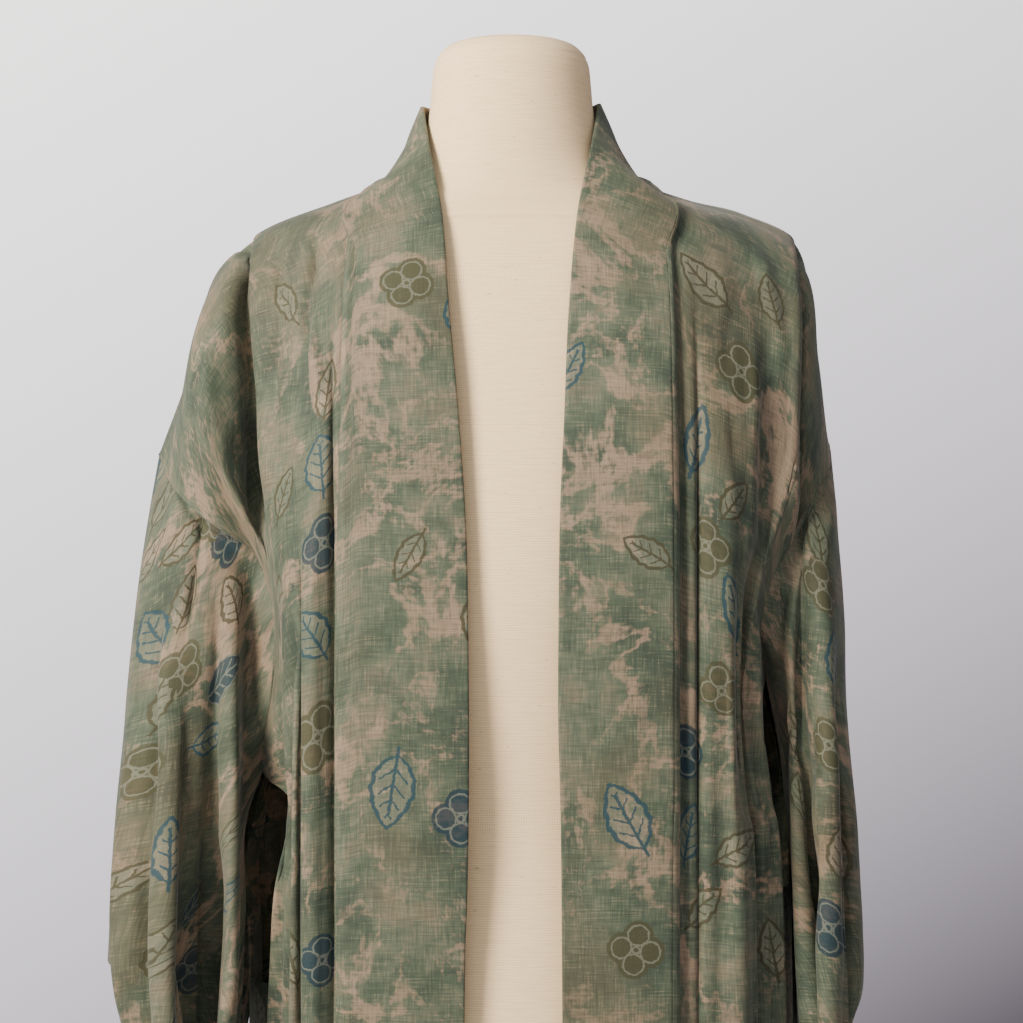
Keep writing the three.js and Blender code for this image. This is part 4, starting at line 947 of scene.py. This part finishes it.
LEFT_SLEEVE_MOTIFS = [
    (-191, 1248, 22, 110, BLUE_LEAF, 0.62), (-208, 1211, 20, 60, OLIVE_LEAF, 0.6),
    (-182, 1202, 18, 10, OLIVE_BLOSSOM, 0.5), (-176, 1178, 17, 0, NAVY_BLOSSOM, 0.5),
    (-214, 1123, 17, 80, OLIVE_LEAF, 0.62), (-234, 1098, 20, 120, BLUE_LEAF, 0.6),
    (-217, 1074, 18, 60, OLIVE_BLOSSOM, 0.5), (-192, 1069, 18, 20, NAVY_LEAF, 0.72),
    (-235, 1059, 18, 60, OLIVE_LEAF, 0.6), (-198, 1031, 17, 5, LINE_BLOSSOM, 0.5),
    (-225, 958, 20, 90, BLUE_LEAF, 0.42), (-209, 922, 17, 60, NAVY_LEAF, 0.5),
    (-194, 928, 16, 20, BLUE_LEAF, 0.5), (-257, 935, 17, 40, OLIVE_LEAF, 0.45),
    (-231, 892, 18, 80, OLIVE_LEAF, 0.62), (-210, 877, 16, 10, NAVY_BLOSSOM, 0.5),
    (-196, 1300, 18, 70, OLIVE_LEAF, 0.5), (-215, 1161, 16, 20, OLIVE_LEAF, 0.5),
    (-245, 1009, 17, 0, OLIVE_BLOSSOM, 0.5), (-184, 1122, 16, 120, OLIVE_LEAF, 0.5),
    (-181, 970, 17, 60, OLIVE_LEAF, 0.5), (-239, 1148, 16, 30, OLIVE_LEAF, 0.5),
]
RIGHT_SLEEVE_MOTIFS = [
    (197, 1287, 16, 100, BLUE_LEAF, 0.5), (202, 1164, 17, 90, OLIVE_LEAF, 0.5),
    (205, 1131, 18, 0, OLIVE_BLOSSOM, 0.5), (188, 1032, 17, 60, OLIVE_LEAF, 0.5),
    (190, 990, 17, 110, OLIVE_LEAF, 0.5), (214, 1082, 18, 80, BLUE_LEAF, 0.45),
    (210, 1026, 17, 0, OLIVE_BLOSSOM, 0.5), (220, 957, 18, 100, OLIVE_LEAF, 0.5),
    (209, 904, 18, 20, NAVY_BLOSSOM, 0.5), (194, 1221, 17, 60, OLIVE_LEAF, 0.5),
]
COLLAR_MOTIFS = [
    (-70, 1331, 18, 20, OLIVE_BLOSSOM, 0.5), (-47, 1306, 17, 70, BLUE_LEAF, 0.5),
    (-80, 994, 22, 100, BLUE_LEAF, 0.58), (-34, 978, 18, 0, NAVY_BLOSSOM, 0.5),
    (-33, 1105, 17, 80, OLIVE_LEAF, 0.5), (60, 1242, 20, 15, OLIVE_BLOSSOM, 0.5),
    (40, 1275, 17, 115, BLUE_LEAF, 0.42), (76, 978, 22, 60, BLUE_LEAF, 0.55),
    (-67, 1148, 16, 120, OLIVE_LEAF, 0.45), (88, 1151, 16, 30, OLIVE_LEAF, 0.5),
    (-64, 904, 18, 10, OLIVE_BLOSSOM, 0.5), (80, 894, 18, 10, OLIVE_BLOSSOM, 0.5),
    (58, 1082, 17, 60, OLIVE_LEAF, 0.5), (-87, 1082, 16, 10, OLIVE_LEAF, 0.5),
]
print("placed on the left sleeve:", len(LEFT_SLEEVE_MOTIFS))


# %% Motifs to UV maps
def mesh_numbers(mesh):
    """Vertex places, the corners' places and the corners' cloth coordinates, all as arrays."""
    spots = np.empty(len(mesh.vertices) * 3)
    mesh.vertices.foreach_get("co", spots)
    corners = np.empty(len(mesh.loops), np.int32)
    mesh.loops.foreach_get("vertex_index", corners)
    cloth = np.empty(len(mesh.loops) * 2, np.float32)
    mesh.uv_layers["cloth"].data.foreach_get("uv", cloth)
    return spots.reshape(-1, 3)[corners.reshape(-1, 3)], cloth.reshape(-1, 3, 2).astype(float)


def strewn(cloth_centres, apart, rng):
    """A grid of places, every second row set off by half a step, each moved by up to a quarter step."""
    low, high = cloth_centres.min(axis=0), cloth_centres.max(axis=0)
    across, down = (np.arange(low[k], high[k] + apart, apart) for k in (0, 1))
    places = np.stack(np.meshgrid(across, down), -1)
    places[1::2, :, 0] += apart / 2
    return (places + rng.uniform(-0.25, 0.25, places.shape) * apart).reshape(-1, 2)


# Strewn motifs stand APART (m), and clear of placed ones by a share of that. None is strewn where the
# camera sees the front (mm out and up). In the search for a placed motif's face, one that doesn't
# front the camera counts as ASIDE mm away, and depth counts BEHIND mm a metre.
APART, CLEAR_SHARE = 0.075, 0.8
SHOWN_OUT, SHOWN_LOW = 345, 840
ASIDE, BEHIND = 30, 200
STREWN_KINDS = [BLUE_LEAF, OLIVE_LEAF, OLIVE_LEAF, NAVY_BLOSSOM, OLIVE_BLOSSOM, BLUE_LEAF, LINE_BLOSSOM,
                NAVY_LEAF]


def print_motifs(piece, table, tone, seed):
    """Listed motifs first, then strewn ones out of their way; each face takes the nearest."""
    mesh = piece.data
    places, cloth = mesh_numbers(mesh)
    centre, middle = cloth.mean(axis=1), places.mean(axis=1)
    normal = np.cross(places[:, 1] - places[:, 0], places[:, 2] - places[:, 0])
    fronting = np.abs(normal[:, 1]) > 0.25 * np.linalg.norm(normal, axis=1)
    view = seen(middle)
    rows = []
    rng = np.random.default_rng(seed)
    for x, z, radius, turn, kind, slim in table:
        far = np.hypot(view[:, 0] - x, view[:, 1] - z)
        far = far + np.where(fronting, 0, ASIDE) + middle[:, 1] * BEHIND
        rows.append([*centre[np.argmin(far)], radius * MM, math.radians(turn), kind, slim])
    tries = strewn(centre, APART, rng)
    near = np.argmin(np.linalg.norm(centre[None] - tries[:, None], axis=-1), axis=1)
    shown = (middle[near, 1] < 0) & (np.abs(view[near, 0]) < SHOWN_OUT) & (view[near, 1] > SHOWN_LOW)
    shown &= len(table) > 0
    count = len(tries)
    more = np.column_stack([tries, rng.uniform(15, 21, count) * MM, rng.uniform(0, 6.28, count),
                            rng.choice(STREWN_KINDS, count), rng.uniform(0.36, 0.66, count)])
    if rows:
        gaps = np.linalg.norm(np.array(rows)[None, :, :2] - tries[:, None], axis=-1)
        more = more[(gaps.min(axis=1) > CLEAR_SHARE * APART) & ~shown]
    motifs = np.concatenate([np.array(rows).reshape(-1, 6), more])
    away = np.linalg.norm(centre[:, None] - motifs[None, :, :2], axis=-1) / motifs[None, :, 2]
    mine = motifs[np.argmin(away, axis=1)]
    offset = (cloth - mine[:, None, :2]) / mine[:, None, 2:3]
    cosine, sine = np.cos(mine[:, 3])[:, None], np.sin(mine[:, 3])[:, None]
    corner_map(mesh, "motif", np.stack([offset[..., 0] * cosine - offset[..., 1] * sine,
                                        offset[..., 0] * sine + offset[..., 1] * cosine], -1))
    corner_map(mesh, "kind", np.repeat(mine[:, None, 4:6], 3, axis=1))
    corner_map(mesh, "tone", np.full((len(mine), 3, 2), tone))
    return len(motifs)


# Each sheet's table, its tone (the collar's is greener) and the seed of its strewn motifs.
prints = ((LEFT_BODY_MOTIFS, 0.45, 3), (RIGHT_BODY_MOTIFS, 0.5, 5), (LEFT_SLEEVE_MOTIFS, 0.35, 7),
          (RIGHT_SLEEVE_MOTIFS, 0.4, 9), ([], 0.4, 13), ([], 0.4, 15), (COLLAR_MOTIFS, 0.85, 17))
for (piece, _), (table, tone, seed) in zip(sheets, prints):
    print(piece.name, "motifs:", print_motifs(piece, table, tone, seed))

# %% [markdown]
# ## Slubby plain-weave silk
# Hand-spun silk in a plain weave: threads of uneven thickness cross each other, so the eye sees a
# cross-hatch with small slubs, a matt face and a faint sheen. It was dipped and wrung, which leaves
# sage patches with dusky pink veins between them, dark green smudges and clouds of olive.

# %% Silk threads
silk, tree, silk_shader = new_material(
    "woven_silk_pongee", Roughness=0.72, IOR=1.5, Specular_IOR_Level=0.3, Sheen_Weight=0.15,
    Sheen_Roughness=0.45)
cloth_uv, motif_uv = (add(tree, "UVMap", uv_map=name) for name in ("cloth", "motif"))
kind, tone = (add(tree, "SeparateXYZ", [add(tree, "UVMap", uv_map=name)]) for name in ("kind", "tone"))
slimness = kind.node.outputs[1]


def crossed(fine, coarse, roughness):
    """Sum of two noises, each drawn out along the threads of one direction. Scales are per metre."""
    noises = []
    for scale in ((fine, coarse, 1.0), (coarse, fine, 1.0)):
        drawn_out = add(tree, "Mapping", {"Vector": cloth_uv, "Scale": scale})
        noises.append(add(tree, "TexNoise", {"Vector": drawn_out, "Scale": 1.0, "Detail": 2.0,
                                             "Roughness": roughness}))
    return add(tree, "Math.ADD", noises)


def clouds(scale, low, high, share, **more):
    """Soft patches: a noise turned into a share that rises between two of its values."""
    noise = add(tree, "TexNoise", {"Vector": cloth_uv, "Scale": scale, **more})
    return add(tree, "MapRange.SMOOTHSTEP", (noise, low, high, 0.0, share))


# Real threads are about 0.3 mm apart, drawn about 1 mm wide here so that they show.
threads = crossed(950.0, 55.0, 0.6)
print("threads drawn 1 mm apart")

# %% Silk dye
# Patches about 50 mm across, from dark green to grey sage. The dye bleeds along the threads.
patch = add(tree, "TexNoise", {"Vector": cloth_uv, "Scale": 19.0, "Detail": 4.0, "Roughness": 0.6})
bleed = crossed(300.0, 60.0, 0.5)
dye = add(tree, "Math.MULTIPLY_ADD", (bleed, 0.16, patch))
ramp = add(tree, "ValToRGB", [add(tree, "MapRange", (dye, 0.52, 0.80))])
stops = ((0.0, "#29362d"), (0.35, "#3b483a"), (0.65, "#4e5646"), (1.0, "#635d4c"))
while len(ramp.node.color_ramp.elements) < len(stops):
    ramp.node.color_ramp.elements.new(0.5)
for element, (position, colour) in zip(ramp.node.color_ramp.elements, stops):
    element.position, element.color = position, linear(colour)

# Wrung-in veins: dusky pink where a warped noise crosses its middle value. They branch and feather,
# and swell and thin out with a second, slower noise.
vein_noise = add(tree, "TexNoise", {"Vector": cloth_uv, "Scale": 17.0, "Detail": 5.0,
                                    "Roughness": 0.62, "Distortion": 0.35})
vein_far = add(tree, "Math.ABSOLUTE", [add(tree, "Math.SUBTRACT", (vein_noise, 0.5))])
vein_far = add(tree, "Math.MULTIPLY_ADD", (bleed, 0.075, vein_far))
swell = add(tree, "TexNoise", {"Vector": cloth_uv, "Scale": 12.0, "Detail": 2.0, "Distortion": 0.3})
swell = add(tree, "MapRange", (swell, 0.34, 0.68, 0.050, 0.145))
vein_edge = add(tree, "Math.SUBTRACT", (vein_far, swell))
vein_share = add(tree, "MapRange.SMOOTHSTEP", (vein_edge, 0.018, -0.035, 0.0, 0.82))
pinker = add(tree, "TexNoise", {"Vector": cloth_uv, "Scale": 31.0, "Detail": 2.0})
vein_colour = add(tree, "Mix.RGBA", {0: pinker, 6: linear("#756650"), 7: linear("#9b8170")}, out=2)
dyed = add(tree, "Mix.RGBA", {0: vein_share, 6: ramp, 7: vein_colour}, out=2)

# Layers over them in turn: olive clouds about 120 mm across, dark smudges about 35 mm across, the
# collar's strip, which came out of the bath greener, and threads that took less or more dye.
layers = (
    (clouds(8.5, 0.50, 0.66, 0.5, Detail=3.0), "#4f4733"),
    (clouds(27.0, 0.57, 0.72, 0.5, Detail=2.0, Distortion=0.8), "#2b352e"),
    (add(tree, "Math.MULTIPLY", (tone, 0.14)), "#64705d"),
    (add(tree, "MapRange.SMOOTHSTEP", (threads, 1.08, 0.74, 0.0, 0.42)), "#2d332a"),
    (add(tree, "MapRange.SMOOTHSTEP", (threads, 1.04, 1.36, 0.0, 0.36)), "#94866f"))
for share, colour in layers:
    dyed = add(tree, "Mix.RGBA", {0: share, 6: dyed, 7: linear(colour)}, out=2)
print("dye stops:", len(stops), "layers:", len(layers))

# %% [markdown]
# The motifs are drawn on that ground. A leaf is |q| below slimness (1 - p * p) to the power 0.75, with
# a midrib and slanting veins. A blossom is four ovals set round a disc, each oval with a pale line
# inside its edge. The threads carry the dye unevenly, which leaves each edge slightly ragged.

# %% Motif places and lines
ragged = add(tree, "TexNoise", {"Vector": cloth_uv, "Scale": 420.0, "Detail": 1.0}, out=1)
nudge = add(tree, "VectorMath.SUBTRACT", (ragged, (0.5, 0.5, 0.5)))
nudge = add(tree, "VectorMath.SCALE", {0: nudge, "Scale": 0.10})
p = add(tree, "SeparateXYZ", [add(tree, "VectorMath.ADD", (motif_uv, nudge))])
q = p.node.outputs[1]
reach = add(tree, "VectorMath.LENGTH", [add(tree, "CombineXYZ", (p, q))], out=1)


def product(*shares):
    """The shares multiplied in turn."""
    return functools.reduce(lambda one, two: add(tree, "Math.MULTIPLY", (one, two)), shares)


def highest(*shares):
    """The largest of the shares."""
    return functools.reduce(lambda one, two: add(tree, "Math.MAXIMUM", (one, two)), shares)


def apart_from(value, middle):
    """The distance of a value from a middle."""
    return add(tree, "Math.ABSOLUTE", [add(tree, "Math.SUBTRACT", (value, middle))])


def ink_line(value, half, soft=0.03, middle=0.0):
    """1 where the value is within half of the middle, fading over soft."""
    return add(tree, "MapRange.SMOOTHSTEP", (apart_from(value, middle), half + soft, half))


def opposite(share):
    """1 less the share."""
    return add(tree, "Math.SUBTRACT", (1.0, share))


# The kinds' numbers sort them: leaves at both ends of the row, olive at 2 and 4.
is_leaf = add(tree, "Math.GREATER_THAN", (apart_from(kind, 3.5), 1.3))
is_line = add(tree, "Math.COMPARE", (kind, float(LINE_BLOSSOM), 0.3))
is_solid_leaf = add(tree, "Math.COMPARE", (kind, float(NAVY_LEAF), 0.3))
is_olive = add(tree, "Math.COMPARE", (apart_from(kind, 3.0), 1.0, 0.3))
print("ink line helper ready")

# %% Leaves
p_size, q_size = apart_from(p, 0.0), apart_from(q, 0.0)
round_off = add(tree, "Math.MULTIPLY_ADD", (product(p, p), -1.0, 1.0), use_clamp=True)
round_off = add(tree, "Math.POWER", (round_off, 0.75))
taper = add(tree, "Math.MULTIPLY_ADD", (p, -0.22, 1.0))
scallop = add(tree, "Math.COSINE", [product(p, 15.0)])
scallop = add(tree, "Math.MULTIPLY_ADD", (scallop, 0.05, 1.0))
leaf_half = product(round_off, slimness, taper, scallop)
leaf_off = add(tree, "Math.SUBTRACT", (q_size, leaf_half))
near = add(tree, "Math.LESS_THAN", (reach, 1.06))
leaf_in = product(add(tree, "MapRange", (leaf_off, 0.02, -0.02)), near, is_leaf)
leaf_rim = product(ink_line(leaf_off, 0.05), near)
on_rib = product(add(tree, "Math.LESS_THAN", (p, 0.66)), add(tree, "Math.GREATER_THAN", (p, -1.3)))
midrib = product(ink_line(q, 0.03), on_rib)
slant = add(tree, "Math.MULTIPLY_ADD", (q_size, -0.9, p))
vein_turn = add(tree, "Math.FRACT", [product(slant, 2.3)])
vein = product(ink_line(vein_turn, 0.06, 0.05, middle=0.5),
               add(tree, "Math.LESS_THAN", (leaf_off, -0.16)), near)
leaf_lines = product(highest(leaf_rim, midrib, vein), is_leaf)
print("leaf drawn with rim, midrib and veins")

# %% Blossoms
outward = add(tree, "Math.SUBTRACT", (highest(p_size, q_size), 0.50))
sideways = add(tree, "Math.MINIMUM", (p_size, q_size))
petal = add(tree, "CombineXYZ", (product(outward, 2.75), product(sideways, 2.6)))
petal = add(tree, "VectorMath.LENGTH", [petal], out=1)
silhouette = add(tree, "Math.MINIMUM", (petal, product(reach, 2.6)))
blossom_in = product(add(tree, "MapRange", (silhouette, 1.42, 1.34)), opposite(is_leaf))
petal_lines = highest(ink_line(petal, 0.05, 0.06, middle=0.93), ink_line(reach, 0.02, middle=0.12))
outer_ring = ink_line(silhouette, 0.10, 0.05, middle=1.24)
print("blossom drawn with four petals")

# %% Print colours
ink, fill = (add(tree, "Mix.RGBA", {0: is_olive, 6: linear(blue), 7: linear(brown)}, out=2)
             for blue, brown in (("#0f3440", "#35331f"), ("#0a2733", "#383924")))
filled = product(highest(product(blossom_in, opposite(is_line)),
                         product(leaf_in, is_solid_leaf)), 0.84)
line_only = product(highest(product(leaf_lines, opposite(is_solid_leaf)),
                            product(highest(petal_lines, outer_ring), blossom_in, is_line)), 0.86)
pale = product(highest(product(petal_lines, blossom_in, opposite(is_line)),
                       product(leaf_lines, leaf_in, is_solid_leaf)), 0.5)
printed = dyed
for share, colour in ((product(leaf_in, 0.25), linear("#77796a")), (filled, fill), (line_only, ink),
                      (pale, linear("#73776a"))):
    printed = add(tree, "Mix.RGBA", {0: share, 6: printed, 7: colour}, out=2)
tree.links.new(printed, silk_shader.inputs["Base Color"])
relief = add(tree, "Bump", {"Strength": 0.35, "Distance": 0.0004, "Height": threads})
tree.links.new(relief, silk_shader.inputs["Normal"])
for piece, _ in sheets:
    piece.data.materials.append(silk)
print("silk nodes:", len(tree.nodes))

# %% [markdown]
# ## Canvas torso
# A shop's dress form is a stiff shell with unbleached linen canvas stretched over it. A seam runs
# round the base of the neck, and another under the edge of the neck cap.

# %% Torso
AROUND = 112
NECK_SEAM_FRONT, NECK_SEAM_RISE, CAP_SEAM = 1369.0, 32.0, 1477.0
POLE_RADIUS, SOCKET_GAP, SOCKET_DEPTH = 12.5, 0.3, 20.0


def ring_points(width, front, back, up):
    """(width cos t, depth sin t, up) with the front or back depth, for whole columns of rings."""
    t = np.linspace(0, 2 * math.pi, AROUND + 1)
    t[-1] = 0.0
    width, front, back, up = (np.asarray(v, float)[:, None] for v in (width, front, back, up))
    depth = np.where(np.sin(t)[None] < 0, front, back)
    return np.stack([width * np.cos(t), depth * np.sin(t), up + 0.0 * t[None]], -1)


heights = finer([ring[0] for ring in FORM_RINGS], 9)
sections = form_at(heights)
skin = ring_points(sections[:, 1], sections[:, 2], sections[:, 3], heights)
around = np.linspace(0, 2 * math.pi, AROUND + 1)
seam_up = NECK_SEAM_FRONT + NECK_SEAM_RISE * (0.5 + 0.5 * np.sin(around)) ** 2
seam_lift = 0.9 * np.exp(-((skin[..., 2] - seam_up[None]) / 1.5) ** 2)
seam_lift -= 0.5 * np.exp(-((skin[..., 2] - CAP_SEAM) / 0.9) ** 2)
size = np.hypot(skin[..., 0], skin[..., 1])[..., None]
skin[..., :2] *= 1.0 + seam_lift[..., None] / np.maximum(size, 1.0)
crown = ring_points([0.0, 8.0, 15.0], [0.0, 8.0, 14.0], [0.0, 8.0, 14.0],
                    [FORM_RINGS[0][0] + 0.5, FORM_RINGS[0][0] + 0.4, FORM_RINGS[0][0] + 0.2])
hole = POLE_RADIUS + SOCKET_GAP
low = FORM_RINGS[-1][0]
socket_radius = [hole + 40.0, hole + 1.0, hole, hole, hole, hole - 1.0, 0.0]
socket_up = [low, low, low, low + 1.0, low + SOCKET_DEPTH - 1.0, low + SOCKET_DEPTH, low + SOCKET_DEPTH]
socket = ring_points(socket_radius, socket_radius, socket_radius, socket_up)
torso_grid = np.concatenate([crown, skin, socket]) * MM
torso = grid_object("form_torso_canvas", torso_grid, False, cloth_coordinates(torso_grid, 0))
print("torso grid", torso_grid.shape[:2])

# %% [markdown]
# Linen canvas is a tight, even plain weave: its threads show as a fine square grid with a few darker
# slubs, and it is quite matt.

# %% Canvas
canvas, tree, shader = new_material(
    "woven_linen_canvas", Roughness=0.85, Specular_IOR_Level=0.25, Sheen_Weight=0.1)
cloth_uv = add(tree, "UVMap", uv_map="cloth")
over = add(tree, "SeparateXYZ", [cloth_uv])
# Threads 0.75 mm apart, drawn 1.5 mm apart so that the grid shows: one turn of the sine a thread.
turns = 2 * math.pi / (1.5 * MM)
wander = add(tree, "TexNoise", {"Vector": cloth_uv, "Scale": 45.0, "Detail": 2.0})
wander = add(tree, "Math.MULTIPLY", (wander, 5.0))
grid = add(tree, "Math.ADD", [
    add(tree, "Math.SINE", [add(tree, "Math.MULTIPLY_ADD", (way, turns, wander))])
    for way in (over, over.node.outputs[1])])
ribbed = add(tree, "Mapping", {"Vector": cloth_uv, "Scale": (50.0, 700.0, 1.0)})
ribbed = add(tree, "TexNoise", {"Vector": ribbed, "Scale": 1.0, "Detail": 3.0, "Roughness": 0.6})
grid = add(tree, "Math.MULTIPLY_ADD", (grid, 0.14, 0.28))
grid = add(tree, "Math.MULTIPLY_ADD", (ribbed, 0.6, grid))
slub = add(tree, "Mapping", {"Vector": cloth_uv, "Scale": (160.0, 420.0, 1.0)})
slub = add(tree, "TexNoise", {"Vector": slub, "Scale": 1.0, "Detail": 0.0})
slub = add(tree, "MapRange.SMOOTHSTEP", (slub, 0.80, 0.86, 0.0, 0.6))
shade = add(tree, "MapRange.SMOOTHSTEP", (grid, 0.25, 0.85))
base = add(tree, "Mix.RGBA", {0: shade, 6: linear("#e3c597"), 7: linear("#ffe5b9")}, out=2)
base = add(tree, "Mix.RGBA", {0: slub, 6: base, 7: linear("#b9a68c")}, out=2)
tree.links.new(base, shader.inputs["Base Color"])
relief = add(tree, "Bump", {"Strength": 0.3, "Distance": 0.0003, "Height": grid})
tree.links.new(relief, shader.inputs["Normal"])
torso.data.materials.append(canvas)
print("canvas thread pitch 1.5 mm")

# %% [markdown]
# ## Pole and base
# The pole is a drawn steel tube with a brushed finish, and the base a turned steel plate with a
# powder coat. Both are turned shapes: an outline carried round the upright axis.

# %% Turned pieces
POLE_TOP, POLE_FOOT = 778.0, 22.3
BASE_RADIUS, BASE_THICK, BASE_POLE_RISE = 170.0, 22.0, 14.0
BASE_EDGE, BASE_BEVEL, BASE_COLLAR = 7.0, 5.0, 12.0


def turned(name, outline, close=0.25):
    """Each outline point carried round the axis; rows beside each corner keep its edge crisp."""
    outline = np.array(outline, float)
    steps = np.linalg.norm(np.diff(outline, axis=0), axis=1)
    rows = [outline[0]]
    for start, end, step in zip(outline[:-1], outline[1:], steps):
        near = min(close / step, 0.3)
        rows += [start + (end - start) * near, start + (end - start) * (1 - near), end]
    rows = np.array(rows)
    grid = ring_points(rows[:, 0], rows[:, 0], rows[:, 0], rows[:, 1]) * MM
    return grid_object(name, grid, True, cloth_coordinates(grid, 0))


pole_low = POLE_FOOT - BASE_POLE_RISE
pole = turned("form_pole_steel", [
    (0, pole_low), (POLE_RADIUS, pole_low), (POLE_RADIUS, POLE_TOP), (0, POLE_TOP)])
plate = turned("form_base_plate", [
    (0, 0), (BASE_RADIUS - 1.0, 0), (BASE_RADIUS, 1.0), (BASE_RADIUS, BASE_EDGE - 1.5),
    (BASE_RADIUS - 1.5, BASE_EDGE + 1.2), (BASE_RADIUS - BASE_BEVEL, BASE_EDGE + BASE_BEVEL),
    (hole + BASE_COLLAR, BASE_THICK), (hole, BASE_THICK), (hole, pole_low - SOCKET_GAP),
    (0, pole_low - SOCKET_GAP)])

steel, tree, shader = new_material("brushed_steel_tube", Metallic=1.0)
# Brush lines run round the tube, about 0.5 mm apart.
spot = add(tree, "TexCoord", out=3)
brushed = add(tree, "Mapping", {"Vector": spot, "Scale": (30.0, 30.0, 2000.0)})
brushed = add(tree, "TexNoise", {"Vector": brushed, "Scale": 1.0, "Detail": 2.0})
shade = add(tree, "Mix.RGBA", {0: brushed, 6: linear("#a9aaab"), 7: linear("#c6c7c8")}, out=2)
tree.links.new(shade, shader.inputs["Base Color"])
tree.links.new(add(tree, "MapRange", (brushed, 0.0, 1.0, 0.26, 0.42)), shader.inputs["Roughness"])
pole.data.materials.append(steel)

coat, tree, shader = new_material("powder_coated_steel", Roughness=0.5)
# Powder coat flows out into a fine orange peel, about 2 mm across.
peel = add(tree, "TexNoise", {"Vector": add(tree, "TexCoord", out=3), "Scale": 520.0, "Detail": 2.0})
shade = add(tree, "Mix.RGBA", {0: peel, 6: linear("#87898b"), 7: linear("#979a9c")}, out=2)
tree.links.new(shade, shader.inputs["Base Color"])
relief = add(tree, "Bump", {"Strength": 0.25, "Distance": 0.0003, "Height": peel})
tree.links.new(relief, shader.inputs["Normal"])
plate.data.materials.append(coat)
print("turned pieces:", pole.name, plate.name)

# %% [markdown]
# ## Riding and replacing
# Nothing moves, so each piece rides on the one body. Each stands for its own solid, which is hidden.

# %% Tie to the model
for piece, solid, slot in (
        (body_left, "body_left", "kimono_silk"), (body_right, "body_right", "kimono_silk"),
        (sleeve_left, "sleeve_left", "kimono_silk"), (sleeve_right, "sleeve_right", "kimono_silk"),
        (gore_left, "gore_left", "kimono_silk"), (gore_right, "gore_right", "kimono_silk"),
        (collar, "collar", "kimono_silk"), (torso, "form_torso", "form_canvas"),
        (pole, "form_pole", "stand_steel"), (plate, "form_base", "stand_base")):
    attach(piece, "root")
    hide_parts(solid)

# %% [markdown]
# ## Studio
# A plain pale floor and a soft light from the upper left, as from a large window, with a weaker one
# in front. The wall is the world's colour, with painted light and shade on it.

# %% Floor, world and lights
FLOOR_HALF, FLOOR_LOW = 3.0, -0.0005
floor_mesh = bpy.data.meshes.new("studio_floor")
floor_mesh.from_pydata([(x * FLOOR_HALF, y * FLOOR_HALF, FLOOR_LOW)
                        for x, y in ((-1, -1), (1, -1), (1, 1), (-1, 1))], [], [(0, 1, 2, 3)])
floor = bpy.data.objects.new("studio_floor", floor_mesh)
bpy.context.collection.objects.link(floor)
floor_paint, _, _ = new_material("pale_floor_paint", Base_Color=linear("#cfcac6"), Roughness=0.8)
floor_mesh.materials.append(floor_paint)
floor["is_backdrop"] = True

# The wall behind is painted light and shade: the world that the camera sees straight on is painted
# brightest at the upper left and darker towards the lower right, as the window's light would fall on
# a wall. Light that reaches the cloth comes mostly from the window's side, so the world is weaker
# there than the wall looks.
world = bpy.data.worlds.new("studio")
world.use_nodes = True
sky = world.node_tree
way = add(sky, "TexCoord")
# The painted wall shading: how far a direction points up and to the left, mapped to the strength that
# the camera sees.
fall = add(sky, "VectorMath.DOT_PRODUCT", (way, (-0.5, 0.0, 0.87)), out=1)
painted_wall_shading = add(sky, "MapRange", (fall, -0.31, 0.274, 0.10, 2.5))
from_window = add(sky, "VectorMath.DOT_PRODUCT", (way, (-0.75, -0.45, 0.5)), out=1)
room_light = add(sky, "MapRange", (from_window, -1.0, 1.0, 0.05, 0.95))
# The world's colour follows the same painted gradient, lilac towards the shaded lower right and warm
# white towards the upper left; it also tints the world's light on the cloth.
tint = add(sky, "MapRange", (fall, -0.30, 0.274))
tint = add(sky, "Mix.RGBA", {0: tint, 6: linear("#fbf0ff"), 7: linear("#fffdfb")}, out=2)
# Camera rays see the painted wall shading, all other rays the room light.
looked_at = add(sky, "LightPath")
strength = add(sky, "Mix.FLOAT", (looked_at, (0.5, 0.5, 0.5), room_light, painted_wall_shading))
sky.links.new(tint, sky.nodes["Background"].inputs["Color"])
sky.links.new(strength, sky.nodes["Background"].inputs["Strength"])
bpy.context.scene.world = world


def soft_light(name, place, aim, size, power, tint):
    """A round area lamp at a place, turned so that it faces its aim."""
    data = bpy.data.lights.new(name, "AREA")
    data.shape, data.size, data.energy = "DISK", size, power
    data.color = linear(tint)[:3]
    light = bpy.data.objects.new(name, data)
    way = np.array(aim) - np.array(place)
    light.location = place
    tilt = math.acos(-way[2] / np.linalg.norm(way))
    light.rotation_euler = (tilt, 0.0, math.atan2(-way[0], way[1]))
    bpy.context.collection.objects.link(light)


soft_light("window", (-1.1, -1.1, 1.85), (-0.1, 0.0, 1.2), 0.7, 68.0, "#fff3e2")
soft_light("front", (0.3, -3.0, 1.5), (0.0, 0.0, 1.1), 2.2, 6.0, "#fbfaff")
print("lights: 2")

# %% Sizes and finish
visual_box = [list(corner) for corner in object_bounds()]
for low_cad, low_seen in zip(cad_box, visual_box):
    print("box corner, solids and pieces:", np.round(low_cad, 3), np.round(low_seen, 3))
